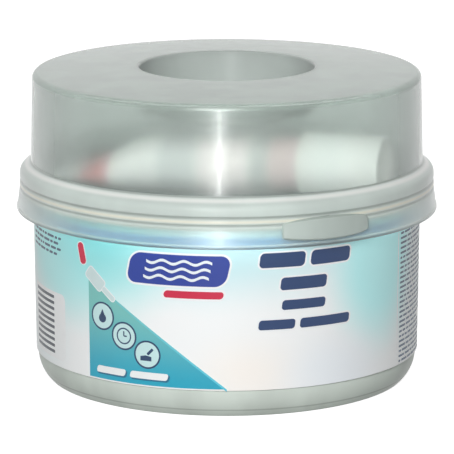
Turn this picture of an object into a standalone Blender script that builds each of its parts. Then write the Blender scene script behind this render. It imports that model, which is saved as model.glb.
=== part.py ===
"""Tub of two-part filling compound, modelled as the separate pieces it comes apart into.

A moulded tub with a printed wrap holds the filler. A thin dished disc closes the tub's mouth,
a tube of hardener lies in the dish, and a domed lid snaps over the rim and covers them both.
Metres, +Z up. The origin is the middle of the foot ring, on the surface the tub stands on.
The front of the tub faces -Y.
"""

import math

import bmesh
import bpy
import numpy as np
from mathutils import Matrix, Vector

# How finely round pieces are cut, and how far apart touching pieces stay
STEPS = 48
CAP_STEPS = 32
SLEEVE_SIDES = 24
FILLER_SIDES = 40
FILLET_STEP = math.radians(42)
SHARP_ANGLE = math.radians(35)
MERGE_DISTANCE = 0.00001
FILLET_REACH = 0.48
GAP = 0.0003
LOOSE_GAP = 4 * GAP

# Tub
TUB_RADIUS = 0.0559
TUB_HEIGHT = 0.0577
TUB_WALL = 0.0012
TUB_FLOOR = 0.0013
TUB_DRAFT = 0.0005
TUB_CORNER = 0.0100
CORNER_SWEEP = math.radians(47)
RIM_WIDTH = 0.0029
RIM_DEPTH = 0.0015
FOOT_WIDTH = 0.0019
FOOT_RECESS = 0.0011
CORNER_POINTS = 6
INNER_CORNER_POINTS = 5
MOUTH_FILLET = 0.0004
RIM_EDGE_FILLET = 0.0005
RIM_UNDER_FILLET = 0.0003
RIM_ROOT_FILLET = 0.0004

# Printed wrap
FILM = 0.00025
WRAP_FOOT_MARGIN = 0.0010
WRAP_RIM_MARGIN = 0.0013

# Filler
HEADSPACE = 0.0066
SWIRL_PITCH = 0.0170
SWIRL_HEIGHT = 0.0009
SWIRL_FADE = 0.5
SWIRL_RINGS = 11
SWIRL_MIDDLE = 0.04
FILLER_FOOT = 0.3

# Disc between the filler and the hardener
DISC_THICKNESS = 0.0009
DISC_DISH = 0.0029
DISC_INSET = 0.0005
DISH_FLOOR_FILLET = 0.0006
DISH_RIM_FILLET = 0.0004
DISH_UNDER_FILLET = 0.0007

# Lid
LID_WALL = 0.0010
SHOULDER_WIDTH = 0.00325
SHOULDER_RISE = 0.0062
SHOULDER_SLOPE = 0.0024
SHOULDER_ROUND = 0.0030
DOME_HEIGHT = 0.0258
DOME_DRAFT = 0.00065
DOME_EDGE = 0.0018
DOME_INNER_FILLET = 0.0010
CREASE_FILLET = 0.0008
CROWN = 0.0014
WELL_RADIUS = 0.0254
WELL_DRAFT = 0.0006
WELL_CLEARANCE = 0.0034
WELL_FLOOR_FILLET = 0.0012
WELL_RIM_FILLET = 0.0007
WELL_UNDER_FILLET = 0.0016
CROWN_INNER_FILLET = 0.0008
SKIRT_DROP = 0.0079
SKIRT_FLARE = 0.00095
SKIRT_EDGE = 0.0009
SKIRT_FOOT_FILLET = 0.0003
CHANNEL_FILLET = 0.0014
RIM_CLEARANCE = 0.0005
SNAP_CLEARANCE = 0.00015
SNAP_HEIGHT = 0.0011
GROOVE_DEPTH = 0.00035
GROOVE_WIDTH = 0.0011
GROOVE_RISE = 0.000825
GROOVE_PITCH = 0.0022
FLARE_DROP = 0.00099
SEAL_WIDTH = 0.0009
SEAL_INSET = 0.0014
SEAL_ROOT = 0.0004

# Where the skirt's and the snap bead's corners lie, as shares of the flare, the edge and the bead
LOWER_GROOVE_OUT = 0.1
FLARE_TOP_OUT = 0.15
EDGE_IN = 0.25
EDGE_RISE = 1.3
SNAP_ROOT_OUT = 0.2
SNAP_LEAD = 0.4
SNAP_HOOK = 0.2
SNAP_ROOT_RISE = 0.1

# Pull tab on the lid's skirt; angles run from the front towards +X
TAB_START = math.radians(14.7)
TAB_END = math.radians(40.6)
TAB_STAND = 0.0009
TAB_BULGE = 0.0014
TAB_LIFT = 0.0027
TAB_SECTIONS = 15
TAB_SINK = 0.00045
TAB_TOP_DROP = 0.00022
TAB_RISE = 0.00055
TAB_FALL = 0.0009
TAB_EDGE = 0.0006
TAB_TOP_EDGE = 0.0009
TAB_TOP_LEAN = 0.0002
TAB_ROOT_LIFT = 0.0012
TAB_STAND_POWER = 0.25
TAB_FALL_POWER = 0.4

# Tube of hardener; it lies in the dish with its cap towards the front right
TUBE_RADIUS = 0.0075
TUBE_FOIL = 0.00035
TUBE_HEADING = math.radians(17)
TUBE_BEND = math.radians(9)
TUBE_OFFSET = 0.0111
CRIMP_LENGTH = 0.0060
CRIMP_HALF_THICKNESS = 0.0008
CRIMP_LIFT = 0.0046
CRIMP_CLEARANCE = 0.0046
TAPER_LENGTH = 0.0250
HOLLOW_SHARE = 0.1
HOLLOW_RINGS = 9
HOLLOW_POWER = 1.4
SINK_POWER = 1.2

# Moulded shoulder and neck of the tube
SHOULDER_WALL = 0.0008
SHOULDER_SKIRT = 0.0030
CONE_HEIGHT = 0.0020
NECK_RADIUS = 0.0042
NECK_BORE = 0.0030
NECK_LENGTH = 0.0088
SEAL_FOIL = 0.0002
NECK_ROOT_FILLET = 0.0003
CONE_EDGE = 0.0002

# Screw cap
CAP_RADIUS = 0.0093
CAP_LENGTH = 0.0235
CAP_WALL = 0.0010
CAP_RECESS = 0.0021
CAP_CLEARANCE = 0.0021
THREAD_CLEARANCE = 0.00045
SPIKE_RADIUS = 0.0015
SPIKE_WELL_RADIUS = 0.0029
SPIKE_HEIGHT = 0.0066
SPIKE_DEPTH = 0.0010
SPIKE_WELL_FILLET = 0.0004
RECESS_FILLET = 0.0005
CAP_END_FILLET = 0.0005
THREAD_SLEEVE_WALL = 0.0014

# Heights that follow from the sizes above
corner_top = TUB_CORNER * math.sin(CORNER_SWEEP)
floor_top = FOOT_RECESS + TUB_FLOOR
rim_top = TUB_HEIGHT
rim_under = rim_top - RIM_DEPTH
disc_seat = rim_top + GAP
disc_top = disc_seat + DISC_THICKNESS
dish_top = disc_top - DISC_DISH
dish_under = dish_top - DISC_THICKNESS
filler_top = dish_under - HEADSPACE
seal_tip = disc_top + GAP
crease_height = rim_top + SHOULDER_RISE
dome_top = crease_height + DOME_HEIGHT
well_rim = dome_top + CROWN
skirt_foot = rim_top - SKIRT_DROP
cap_axis_height = dish_top + GAP + CAP_RADIUS
well_under = cap_axis_height + CAP_RADIUS + WELL_CLEARANCE
well_floor = well_under + LID_WALL

# Radii that follow from the sizes above
mouth_radius = TUB_RADIUS - TUB_WALL
rim_radius = TUB_RADIUS + RIM_WIDTH
channel_radius = rim_radius + RIM_CLEARANCE
skirt_radius = channel_radius + LID_WALL
skirt_foot_radius = skirt_radius + SKIRT_FLARE
dome_foot_radius = skirt_radius - SHOULDER_WIDTH
dome_top_radius = dome_foot_radius - DOME_DRAFT
dome_inside = dome_foot_radius - LID_WALL
sleeve_inside = TUBE_RADIUS - TUBE_FOIL
crimp_half_width = TUBE_RADIUS * math.pi / 2
tube_straight = SHOULDER_SKIRT + LOOSE_GAP


def linear(red, green, blue):
    """Turn display levels from 0 to 255 into the linear colour a shader takes."""
    levels = np.array([red, green, blue]) / 255
    return tuple(np.where(levels <= 0.04045, levels / 12.92, ((levels + 0.055) / 1.055) ** 2.4)) + (1.0,)


def finish(name, colour, roughness, metallic=0.0, alpha=1.0):
    """Make a plain finish: colour in display levels, roughness, metallic value and cover."""
    material = bpy.data.materials.new(name)
    material.use_nodes = True
    shader = material.node_tree.nodes["Principled BSDF"]
    shader.inputs["Base Color"].default_value = linear(*colour)
    shader.inputs["Roughness"].default_value = roughness
    shader.inputs["Metallic"].default_value = metallic
    shader.inputs["Alpha"].default_value = alpha
    return material


def clear_scene():
    """Remove what a new Blender scene holds."""
    for item in list(bpy.data.objects):
        bpy.data.objects.remove(item)


def add_collection(name):
    """Add a collection to the scene."""
    collection = bpy.data.collections.new(name)
    bpy.context.scene.collection.children.link(collection)
    return collection


def add_object(name, mesh, collection, material=None):
    """Put a mesh into the scene as an object of a collection."""
    item = bpy.data.objects.new(name, mesh)
    collection.objects.link(item)
    if material:
        mesh.materials.append(material)
    return item


def arc(centre, radius, start, end, count):
    """Give points of an arc in the profile's plane, with angles from +X towards +Z."""
    angles = np.linspace(start, end, count)
    return [(centre[0] + radius * math.cos(a), centre[1] + radius * math.sin(a)) for a in angles]


def rounded(corners):
    """Give the points of a profile whose corners, (x, z) or (x, z, radius), are rounded by arcs."""
    points = []
    for index, corner in enumerate(corners):
        here = Vector(corner[:2])
        radius = corner[2] if len(corner) > 2 else 0.0
        if radius == 0.0 or index in (0, len(corners) - 1):
            points.append(tuple(here))
            continue
        before = Vector(corners[index - 1][:2]) - here
        after = Vector(corners[index + 1][:2]) - here
        turn = math.pi - before.angle(after)
        reach = min(radius * math.tan(turn / 2), FILLET_REACH * before.length, FILLET_REACH * after.length)
        radius = reach / math.tan(turn / 2)
        middle = here + (before.normalized() + after.normalized()).normalized() * math.hypot(radius, reach)
        start = here + before.normalized() * reach - middle
        end = here + after.normalized() * reach - middle
        count = max(1, math.ceil(turn / FILLET_STEP))
        for step in range(count + 1):
            along = start.lerp(end, step / count).normalized() * radius
            points.append(tuple(middle + along))
    return points


def turned(name, points, steps, collection, material=None, closed=False):
    """Turn a profile of (x, z) points, which runs down its outer side, about the Z axis."""
    mesh = bpy.data.meshes.new(name)
    edges = [(i, i + 1) for i in range(len(points) - 1)]
    if closed:
        edges.append((len(points) - 1, 0))
    mesh.from_pydata([(x, 0.0, z) for x, z in points], edges, [])
    item = add_object(name, mesh, collection, material)
    screw = item.modifiers.new("turn", "SCREW")
    screw.axis = "Z"
    screw.angle = 2 * math.pi
    screw.steps = steps
    screw.render_steps = steps
    screw.use_merge_vertices = True
    screw.merge_threshold = MERGE_DISTANCE
    screw.use_smooth_shade = True
    return item


def loft(name, rings, collection, material=None):
    """Skin a chain of rings that have as many points each, and close both of its ends."""
    shape = bmesh.new()
    rows = [[shape.verts.new(point) for point in ring] for ring in rings]
    sides = len(rows[0])
    for lower, upper in zip(rows, rows[1:]):
        for i in range(sides):
            j = (i + 1) % sides
            shape.faces.new((lower[i], lower[j], upper[j], upper[i]))
    shape.faces.new(rows[0])
    shape.faces.new(rows[-1])
    bmesh.ops.recalc_face_normals(shape, faces=shape.faces)
    mesh = bpy.data.meshes.new(name)
    shape.to_mesh(mesh)
    shape.free()
    return add_object(name, mesh, collection, material)


def settle(item):
    """Turn a piece's modifiers into faces and shade it smooth up to its real edges."""
    graph = bpy.context.evaluated_depsgraph_get()
    mesh = bpy.data.meshes.new_from_object(item.evaluated_get(graph))
    item.modifiers.clear()
    item.data = mesh
    mesh.shade_smooth()
    mesh.set_sharp_from_angle(angle=SHARP_ANGLE)


def tub_outside(height):
    """Give the tub's outer radius at a height; the wall narrows towards the foot."""
    share = (rim_under - height) / (rim_under - corner_top)
    return TUB_RADIUS - TUB_DRAFT * share


def inner_corner(inset):
    """Give the points of the tub's inner profile, moved in by an inset, from the floor to the wall."""
    centre = (tub_outside(corner_top) - TUB_CORNER, corner_top)
    radius = TUB_CORNER - TUB_WALL - inset
    start = -math.asin((corner_top - floor_top - inset) / radius)
    return arc(centre, radius, start, 0.0, INNER_CORNER_POINTS)


def make_tub(collection):
    """Make the moulded tub: drafted wall, soft base corner, foot ring, recessed base and flat rim."""
    centre = (tub_outside(corner_top) - TUB_CORNER, corner_top)
    base_corner = arc(centre, TUB_CORNER, 0.0, -CORNER_SWEEP, CORNER_POINTS)
    foot_outer = base_corner[-1][0]
    foot_inner = foot_outer - FOOT_WIDTH
    corners = [(0.0, floor_top)]
    corners += inner_corner(0.0)
    corners += [
        (mouth_radius, rim_top, MOUTH_FILLET),
        (rim_radius, rim_top, RIM_EDGE_FILLET),
        (rim_radius, rim_under, RIM_UNDER_FILLET),
        (TUB_RADIUS, rim_under, RIM_ROOT_FILLET),
    ]
    corners += base_corner
    corners += [
        (foot_inner, 0.0),
        (foot_inner - FOOT_RECESS, FOOT_RECESS),
        (0.0, FOOT_RECESS),
    ]
    plastic = finish("tub_plastic", (176, 184, 178), 0.42)
    return turned("tub", rounded(corners), STEPS, collection, plastic)


def make_wrap(collection):
    """Make the printed wrap: a film sleeve that follows the drafted wall from foot to rim."""
    low = corner_top + WRAP_FOOT_MARGIN
    high = rim_under - WRAP_RIM_MARGIN
    corners = [
        (tub_outside(high) + GAP + FILM, high),
        (tub_outside(low) + GAP + FILM, low),
        (tub_outside(low) + GAP, low),
        (tub_outside(high) + GAP, high),
    ]
    film = finish("label_film", (150, 214, 218), 0.3)
    return turned("label_wrap", corners, STEPS, collection, film, closed=True)


def swirl_height(radius, angles, rim):
    """Give the paste's height: a spiral ridge that fades out at the wall and in the middle."""
    share = radius / rim
    ridge = np.cos(2 * math.pi * radius / SWIRL_PITCH - angles)
    return filler_top + SWIRL_HEIGHT * ridge * math.sin(math.pi * share) ** SWIRL_FADE


def make_filler(collection):
    """Make the filler: it fills the tub to a level under the disc and has a spiral top."""
    angles = np.linspace(0, 2 * math.pi, FILLER_SIDES, endpoint=False)
    wall = tub_outside(filler_top) - TUB_WALL - GAP
    outline = [(wall * FILLER_FOOT, floor_top + GAP)] + inner_corner(GAP)
    rings = [[(r * math.cos(a), r * math.sin(a), z) for a in angles] for r, z in outline]
    for share in np.linspace(1.0, SWIRL_MIDDLE, SWIRL_RINGS):
        radius = wall * share
        heights = swirl_height(radius, angles, wall)
        rings.append([(radius * math.cos(a), radius * math.sin(a), z) for a, z in zip(angles, heights)])
    paste = finish("filler_paste", (196, 200, 190), 0.6)
    return loft("filler_compound", rings, collection, paste)


def make_disc(collection):
    """Make the disc: a flange that lies on the tub's rim and a shallow dish inside the mouth."""
    plug = mouth_radius - GAP
    flange = rim_radius - DISC_INSET
    corners = [
        (0.0, dish_top),
        (plug - DISC_THICKNESS, dish_top, DISH_FLOOR_FILLET),
        (plug - DISC_THICKNESS, disc_top, DISH_RIM_FILLET),
        (flange, disc_top),
        (flange, disc_seat),
        (plug, disc_seat),
        (plug, dish_under, DISH_UNDER_FILLET),
        (0.0, dish_under),
    ]
    plastic = finish("disc_plastic", (158, 168, 166), 0.5)
    return turned("sealing_disc", rounded(corners), STEPS, collection, plastic)


def groove(height, radius):
    """Give the three corners of a soft groove round the skirt, from its upper edge to its lower."""
    return [
        (radius, height + GROOVE_WIDTH / 2),
        (radius - GROOVE_DEPTH, height),
        (radius, height - GROOVE_WIDTH / 2),
    ]


def lid_profile():
    """Give the lid's profile: well, crown, dome, shoulder, two grooves, skirt, then the inside."""
    seal_outer = channel_radius - SEAL_INSET
    seal_inner = seal_outer - SEAL_WIDTH
    snap_radius = rim_radius + SNAP_CLEARANCE
    snap_top = rim_under - GAP
    snap_foot = snap_top - SNAP_HEIGHT
    shoulder_foot = crease_height - SHOULDER_SLOPE
    upper_groove = rim_top + GROOVE_RISE
    lower_groove = upper_groove - GROOVE_PITCH
    flare_top = lower_groove - FLARE_DROP
    outside = [
        (0.0, well_floor),
        (WELL_RADIUS - WELL_DRAFT, well_floor, WELL_FLOOR_FILLET),
        (WELL_RADIUS, well_rim, WELL_RIM_FILLET),
        (dome_top_radius, dome_top, DOME_EDGE),
        (dome_foot_radius, crease_height, CREASE_FILLET),
        (skirt_radius, shoulder_foot, SHOULDER_ROUND),
    ]
    outside += groove(upper_groove, skirt_radius)
    outside += groove(lower_groove, skirt_radius + LOWER_GROOVE_OUT * SKIRT_FLARE)
    outside += [
        (skirt_radius + FLARE_TOP_OUT * SKIRT_FLARE, flare_top),
        (skirt_foot_radius - EDGE_IN * SKIRT_EDGE, skirt_foot + EDGE_RISE * SKIRT_EDGE),
        (skirt_foot_radius, skirt_foot + SKIRT_EDGE),
        (skirt_foot_radius, skirt_foot, SKIRT_FOOT_FILLET),
    ]
    inside = [
        (skirt_foot_radius - LID_WALL, skirt_foot),
        (channel_radius + SNAP_ROOT_OUT * SKIRT_FLARE, snap_foot),
        (snap_radius, snap_foot + SNAP_LEAD * SNAP_HEIGHT),
        (snap_radius, snap_top - SNAP_HOOK * SNAP_HEIGHT),
        (channel_radius, snap_top + SNAP_ROOT_RISE * SNAP_HEIGHT),
        (channel_radius, shoulder_foot, CHANNEL_FILLET),
        (seal_outer, shoulder_foot),
        (seal_outer, seal_tip),
        (seal_inner, seal_tip),
        (seal_inner, shoulder_foot + SEAL_ROOT),
        (dome_inside, crease_height - LID_WALL),
        (dome_top_radius - LID_WALL, dome_top - LID_WALL, DOME_INNER_FILLET),
        (WELL_RADIUS + LID_WALL, well_rim - LID_WALL, CROWN_INNER_FILLET),
        (WELL_RADIUS - WELL_DRAFT + LID_WALL, well_under, WELL_UNDER_FILLET),
        (0.0, well_under),
    ]
    return rounded(outside + inside)


def tab_sections():
    """Give the pull tab's sections round the skirt: it bulges in the middle and thins at its ends."""
    root = skirt_radius - TAB_SINK
    low = skirt_foot + TAB_LIFT
    high = rim_top - TAB_TOP_DROP
    sections = []
    for share in np.linspace(0.0, 1.0, TAB_SECTIONS):
        angle = TAB_START + (TAB_END - TAB_START) * share
        swell = math.sin(math.pi * share)
        face = skirt_radius + SKIRT_FLARE / 2 + TAB_STAND * swell ** TAB_STAND_POWER + TAB_BULGE * swell
        rise = TAB_RISE * swell
        fall = TAB_FALL * swell ** TAB_FALL_POWER
        outline = [
            (root, low - fall + TAB_ROOT_LIFT),
            (face - TAB_EDGE, low - fall),
            (face, low - fall + TAB_EDGE),
            (face - TAB_TOP_LEAN, high + rise - TAB_EDGE),
            (face - TAB_TOP_EDGE, high + rise),
            (root, high + rise),
        ]
        sections.append([(r * math.sin(angle), -r * math.cos(angle), z) for r, z in outline])
    return sections


def make_lid(collection, helpers):
    """Make the lid: a turned dome with its well and skirt, joined with the pull tab."""
    plastic = finish("lid_plastic", (190, 200, 195), 0.3, alpha=0.55)
    lid = turned("lid", lid_profile(), STEPS, collection, plastic)
    tab = loft("pull_tab_shape", tab_sections(), helpers)
    tab.display_type = "WIRE"
    tab.hide_render = True
    union = lid.modifiers.new("pull tab", "BOOLEAN")
    union.operation = "UNION"
    union.solver = "EXACT"
    union.object = tab
    return lid


def cap_place():
    """Give the frame of the hardener tube: origin in the cap's open end, +Z out of the cap's closed end.

    The cap's closed end stays a clearance inside the dome, at the side where the tube's axis
    passes in front of the tub's middle.
    """
    reach = math.sqrt(dome_inside ** 2 - (TUBE_OFFSET + CAP_RADIUS) ** 2) - CAP_CLEARANCE
    along = Vector((math.cos(TUBE_HEADING), -math.sin(TUBE_HEADING), 0.0))
    across = Vector((math.sin(TUBE_HEADING), math.cos(TUBE_HEADING), 0.0))
    up = Vector((0.0, 0.0, 1.0))
    place = Matrix((across, up, along)).transposed().to_4x4()
    place.translation = along * (reach - CAP_LENGTH) - across * TUBE_OFFSET + up * cap_axis_height
    return place


def sleeve_length():
    """Give the sleeve's length: it ends a clearance short of the dome at the crimp's corner."""
    reach = math.sqrt(dome_inside ** 2 - (TUBE_OFFSET + crimp_half_width) ** 2) - CRIMP_CLEARANCE
    cap_root = math.sqrt(dome_inside ** 2 - (TUBE_OFFSET + CAP_RADIUS) ** 2) - CAP_CLEARANCE - CAP_LENGTH
    return reach + cap_root


def sleeve_ring(distance, inset, sides):
    """Give one ring of the sleeve in the tube's frame, moved in by an inset.

    The section keeps its girth while it flattens: half height b gives the half width
    sqrt(2 r^2 - b^2), stretched to pi r / 2 at the crimp. The axis bends along an arc and
    sinks towards the dish, and the belly never sinks below the dish.
    """
    length = sleeve_length()
    from_end = length - distance
    share = min(1.0, max(0.0, (from_end - CRIMP_LENGTH) / TAPER_LENGTH))
    half_height = CRIMP_HALF_THICKNESS + (TUBE_RADIUS - CRIMP_HALF_THICKNESS) * math.sin(share * math.pi / 2)
    flatness = 1 - half_height / TUBE_RADIUS
    stretch = 1 + (math.pi / math.sqrt(8) - 1) * flatness ** 2
    half_width = math.sqrt(2 * TUBE_RADIUS ** 2 - half_height ** 2) * stretch
    bent = max(0.0, distance - tube_straight)
    bend = TUBE_BEND / (length - tube_straight)
    turn = bend * bent
    straight = min(distance, tube_straight)
    middle = Vector((-(1 - math.cos(turn)) / bend, 0.0, -straight - math.sin(turn) / bend))
    tail = 1 - bent / (length - tube_straight)
    sink = CRIMP_LIFT + (cap_axis_height - dish_top - CRIMP_LIFT) * tail ** SINK_POWER
    middle.y = max(sink, half_height + GAP) - (cap_axis_height - dish_top)
    across = Vector((math.cos(turn), 0.0, -math.sin(turn)))
    ring = []
    for angle in np.linspace(0, 2 * math.pi, sides, endpoint=False):
        sideways = max(half_width - inset, 0.0) * math.cos(angle)
        upwards = max(half_height - inset, 0.0) * math.sin(angle)
        ring.append(tuple(middle + across * sideways + Vector((0.0, upwards, 0.0))))
    return ring


def hollow_stations():
    """Give distances along the sleeve's hollow, past its straight end, that crowd where it flattens."""
    end = sleeve_length() - CRIMP_LENGTH - HOLLOW_SHARE * TAPER_LENGTH
    share = 1 - (1 - np.linspace(0.0, 1.0, HOLLOW_RINGS)) ** HOLLOW_POWER
    return tube_straight + (end - tube_straight) * share


def make_sleeve(collection, place):
    """Make the tube's sleeve: a thin skin, round at the shoulder and crimped flat at its end."""
    length = sleeve_length()
    hollow = [GAP, *hollow_stations()]
    inner = [sleeve_ring(s, TUBE_FOIL, SLEEVE_SIDES) for s in hollow]
    tail = [length - CRIMP_LENGTH, length]
    outer = [sleeve_ring(s, 0.0, SLEEVE_SIDES) for s in hollow + tail]
    skin = finish("sleeve_laminate", (226, 226, 224), 0.35)
    sleeve = loft("hardener_tube_sleeve", inner[::-1] + outer, collection, skin)
    sleeve.parent = place
    return sleeve


def make_shoulder(collection, place):
    """Make the tube's shoulder: a skirt inside the sleeve, a cone and a neck with a bore."""
    skirt = sleeve_inside - GAP
    corners = [
        (NECK_RADIUS, CONE_HEIGHT + NECK_LENGTH),
        (NECK_RADIUS, CONE_HEIGHT, NECK_ROOT_FILLET),
        (skirt, CONE_EDGE),
        (skirt, -SHOULDER_SKIRT),
        (skirt - SHOULDER_WALL, -SHOULDER_SKIRT),
        (skirt - SHOULDER_WALL, -SHOULDER_WALL),
        (NECK_BORE, CONE_HEIGHT - SHOULDER_WALL),
        (NECK_BORE, CONE_HEIGHT + NECK_LENGTH),
    ]
    plastic = finish("shoulder_plastic", (220, 222, 218), 0.4)
    shoulder = turned("hardener_tube_shoulder", rounded(corners), CAP_STEPS, collection, plastic, closed=True)
    shoulder.parent = place
    return shoulder


def make_neck_seal(collection, place):
    """Make the foil that closes the neck until the cap's spike pierces it."""
    low = CONE_HEIGHT + NECK_LENGTH + GAP
    corners = [(0.0, low + SEAL_FOIL), (NECK_RADIUS, low + SEAL_FOIL), (NECK_RADIUS, low), (0.0, low)]
    metal = finish("seal_metal", (190, 192, 196), 0.35, metallic=1.0)
    seal = turned("neck_seal_foil", corners, CAP_STEPS, collection, metal)
    seal.parent = place
    return seal


def make_paste(collection, place):
    """Make the hardener paste: it fills the neck, the shoulder and the sleeve up to the crimp."""
    throat = sleeve_inside - 2 * GAP - SHOULDER_WALL
    outline = [
        (NECK_BORE - GAP, CONE_HEIGHT + NECK_LENGTH - GAP),
        (NECK_BORE - GAP, CONE_HEIGHT - SHOULDER_WALL - 2 * GAP),
        (throat, -SHOULDER_WALL - 2 * GAP),
        (throat, -SHOULDER_SKIRT - GAP),
    ]
    angles = np.linspace(0, 2 * math.pi, SLEEVE_SIDES, endpoint=False)
    rings = [[(r * math.cos(a), r * math.sin(a), z) for a in angles] for r, z in outline]
    rings += [sleeve_ring(s, TUBE_FOIL + GAP, SLEEVE_SIDES) for s in hollow_stations()[:-1]]
    paste = finish("hardener_paste", (178, 54, 48), 0.5)
    filling = loft("hardener_paste", rings, collection, paste)
    filling.parent = place
    return filling


def make_cap(collection, place):
    """Make the screw cap: recessed end with a piercing spike, outer wall and threaded inner sleeve."""
    bore = NECK_RADIUS + THREAD_CLEARANCE
    bore_top = CONE_HEIGHT + NECK_LENGTH + SEAL_FOIL + LOOSE_GAP
    recess = CAP_LENGTH - CAP_RECESS
    well = CAP_LENGTH - SPIKE_DEPTH - SPIKE_HEIGHT
    corners = [
        (0.0, well + SPIKE_HEIGHT),
        (SPIKE_RADIUS, well),
        (SPIKE_WELL_RADIUS, well),
        (SPIKE_WELL_RADIUS, recess, SPIKE_WELL_FILLET),
        (CAP_RADIUS - CAP_WALL, recess, RECESS_FILLET),
        (CAP_RADIUS - CAP_WALL, CAP_LENGTH),
        (CAP_RADIUS, CAP_LENGTH, CAP_END_FILLET),
        (CAP_RADIUS, 0.0),
        (CAP_RADIUS - CAP_WALL, 0.0),
        (CAP_RADIUS - CAP_WALL, recess - CAP_WALL),
        (bore + THREAD_SLEEVE_WALL, recess - CAP_WALL),
        (bore + THREAD_SLEEVE_WALL, CONE_HEIGHT + GAP),
        (bore, CONE_HEIGHT + GAP),
        (bore, bore_top),
        (0.0, bore_top),
    ]
    plastic = finish("cap_plastic", (236, 236, 234), 0.35)
    cap = turned("hardener_tube_cap", rounded(corners), CAP_STEPS, collection, plastic)
    cap.parent = place
    return cap


def add_tube_frame(collection):
    """Add the empty that carries the hardener tube's pieces; its Z axis is the axis the cap turns on."""
    place = bpy.data.objects.new("hardener_tube_axis", None)
    place.empty_display_size = CAP_RADIUS
    place.matrix_world = cap_place()
    collection.objects.link(place)
    return place


def main():
    """Build the tub of filler."""
    clear_scene()
    parts = add_collection("tub_of_wall_filler")
    helpers = add_collection("cutters")
    place = add_tube_frame(helpers)
    pieces = [
        make_tub(parts),
        make_wrap(parts),
        make_filler(parts),
        make_disc(parts),
        make_lid(parts, helpers),
        make_sleeve(parts, place),
        make_shoulder(parts, place),
        make_neck_seal(parts, place),
        make_paste(parts, place),
        make_cap(parts, place),
    ]
    for piece in pieces:
        settle(piece)


if __name__ == "__main__":
    main()
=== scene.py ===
"""Looks of a tub of two-part filling compound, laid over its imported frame.

A moulded tub with a printed wrap holds the filler. A dished disc closes the tub's mouth, a tube of
hardener lies in the dish, and a domed see-through lid snaps over the rim. Each class below is one of
these pieces, or one group of them. All lengths are metres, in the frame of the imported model: +Z up,
the origin in the middle of the foot ring, the front of the tub towards -Y.
"""

import logging
import math
from collections.abc import Sequence
from dataclasses import dataclass, replace
from enum import Enum, IntEnum
from typing import NamedTuple

import bmesh
import bpy
import numpy as np
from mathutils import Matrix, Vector


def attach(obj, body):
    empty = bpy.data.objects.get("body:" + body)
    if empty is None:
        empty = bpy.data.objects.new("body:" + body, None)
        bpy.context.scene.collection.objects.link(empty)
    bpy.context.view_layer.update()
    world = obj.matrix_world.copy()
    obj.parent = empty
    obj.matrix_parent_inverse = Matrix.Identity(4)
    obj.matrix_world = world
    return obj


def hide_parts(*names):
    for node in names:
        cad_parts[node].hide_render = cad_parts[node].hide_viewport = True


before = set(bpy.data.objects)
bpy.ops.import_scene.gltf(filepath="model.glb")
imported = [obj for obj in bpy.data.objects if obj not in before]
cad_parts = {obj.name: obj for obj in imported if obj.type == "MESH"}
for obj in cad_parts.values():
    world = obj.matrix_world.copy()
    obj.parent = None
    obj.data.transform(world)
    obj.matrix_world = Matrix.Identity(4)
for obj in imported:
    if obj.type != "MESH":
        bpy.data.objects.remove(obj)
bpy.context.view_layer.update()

logging.basicConfig(level=logging.INFO, format="%(message)s")
LOG = logging.getLogger("tub_of_filler")

Points = np.ndarray
Corner = tuple[float, ...]
Colour = tuple[float, float, float]
Object = bpy.types.Object
Socket = bpy.types.NodeSocket

PLACE_MAP = "print_place"
GAP = 0.0003
TURN_STEPS = 256
TUBE_STEPS = 96
RING_SIDES = 40
RING_ROW = 0.0015
MERGE_DISTANCE = 0.000001
SHARP_ANGLE = math.radians(38)

# The fillets of moulded edges, from the sharpest to the softest
HAIR, KEEN, FINE, EASED, MILD, SOFT, GENTLE, FULL = (0.0001 * step for step in range(1, 9))
FILLET_STEP = math.radians(7)
FILLET_REACH = 0.48

# Where a flow mark turns from dark to pale, a noise from glossy to matt, and a slant from clear to milky
FLOW_TURN = (0.35, 0.65)
GLOSS_TURN = (0.3, 0.7)
SLANT_TURN = (0.2, 0.75)

# The numbers of a Mix node's colour sockets, whose names its other sockets have too
MIX_FIRST, MIX_SECOND, MIX_RESULT = 6, 7, 2

WHITE = (255, 255, 255)
# Painted shade for a crease, grooves and the gaps under edges, and painted highlights along edges and a rib
PAINTED_SHADE = (40, 45, 44)
PAINTED_HIGHLIGHT = (255, 255, 252)
PAINTED_CREAM_HIGHLIGHT = (255, 247, 226)
INK_PALE = (250, 252, 252)
INK_DULL = (90, 100, 110)


class Body(str, Enum):
    """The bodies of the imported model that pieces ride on."""

    TUB = "tub"
    DISC = "disc"
    TUBE = "tube"
    CAP = "cap"
    LID = "lid"


# Shapes

def arc(centre: Corner, radius: float, start: float, end: float, count: int) -> Points:
    """Give so many points of an arc in a profile's plane: centre + radius * (cos a, sin a)."""
    angles = np.linspace(start, end, count)
    return np.stack([centre[0] + radius * np.cos(angles), centre[1] + radius * np.sin(angles)], axis=1)


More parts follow.
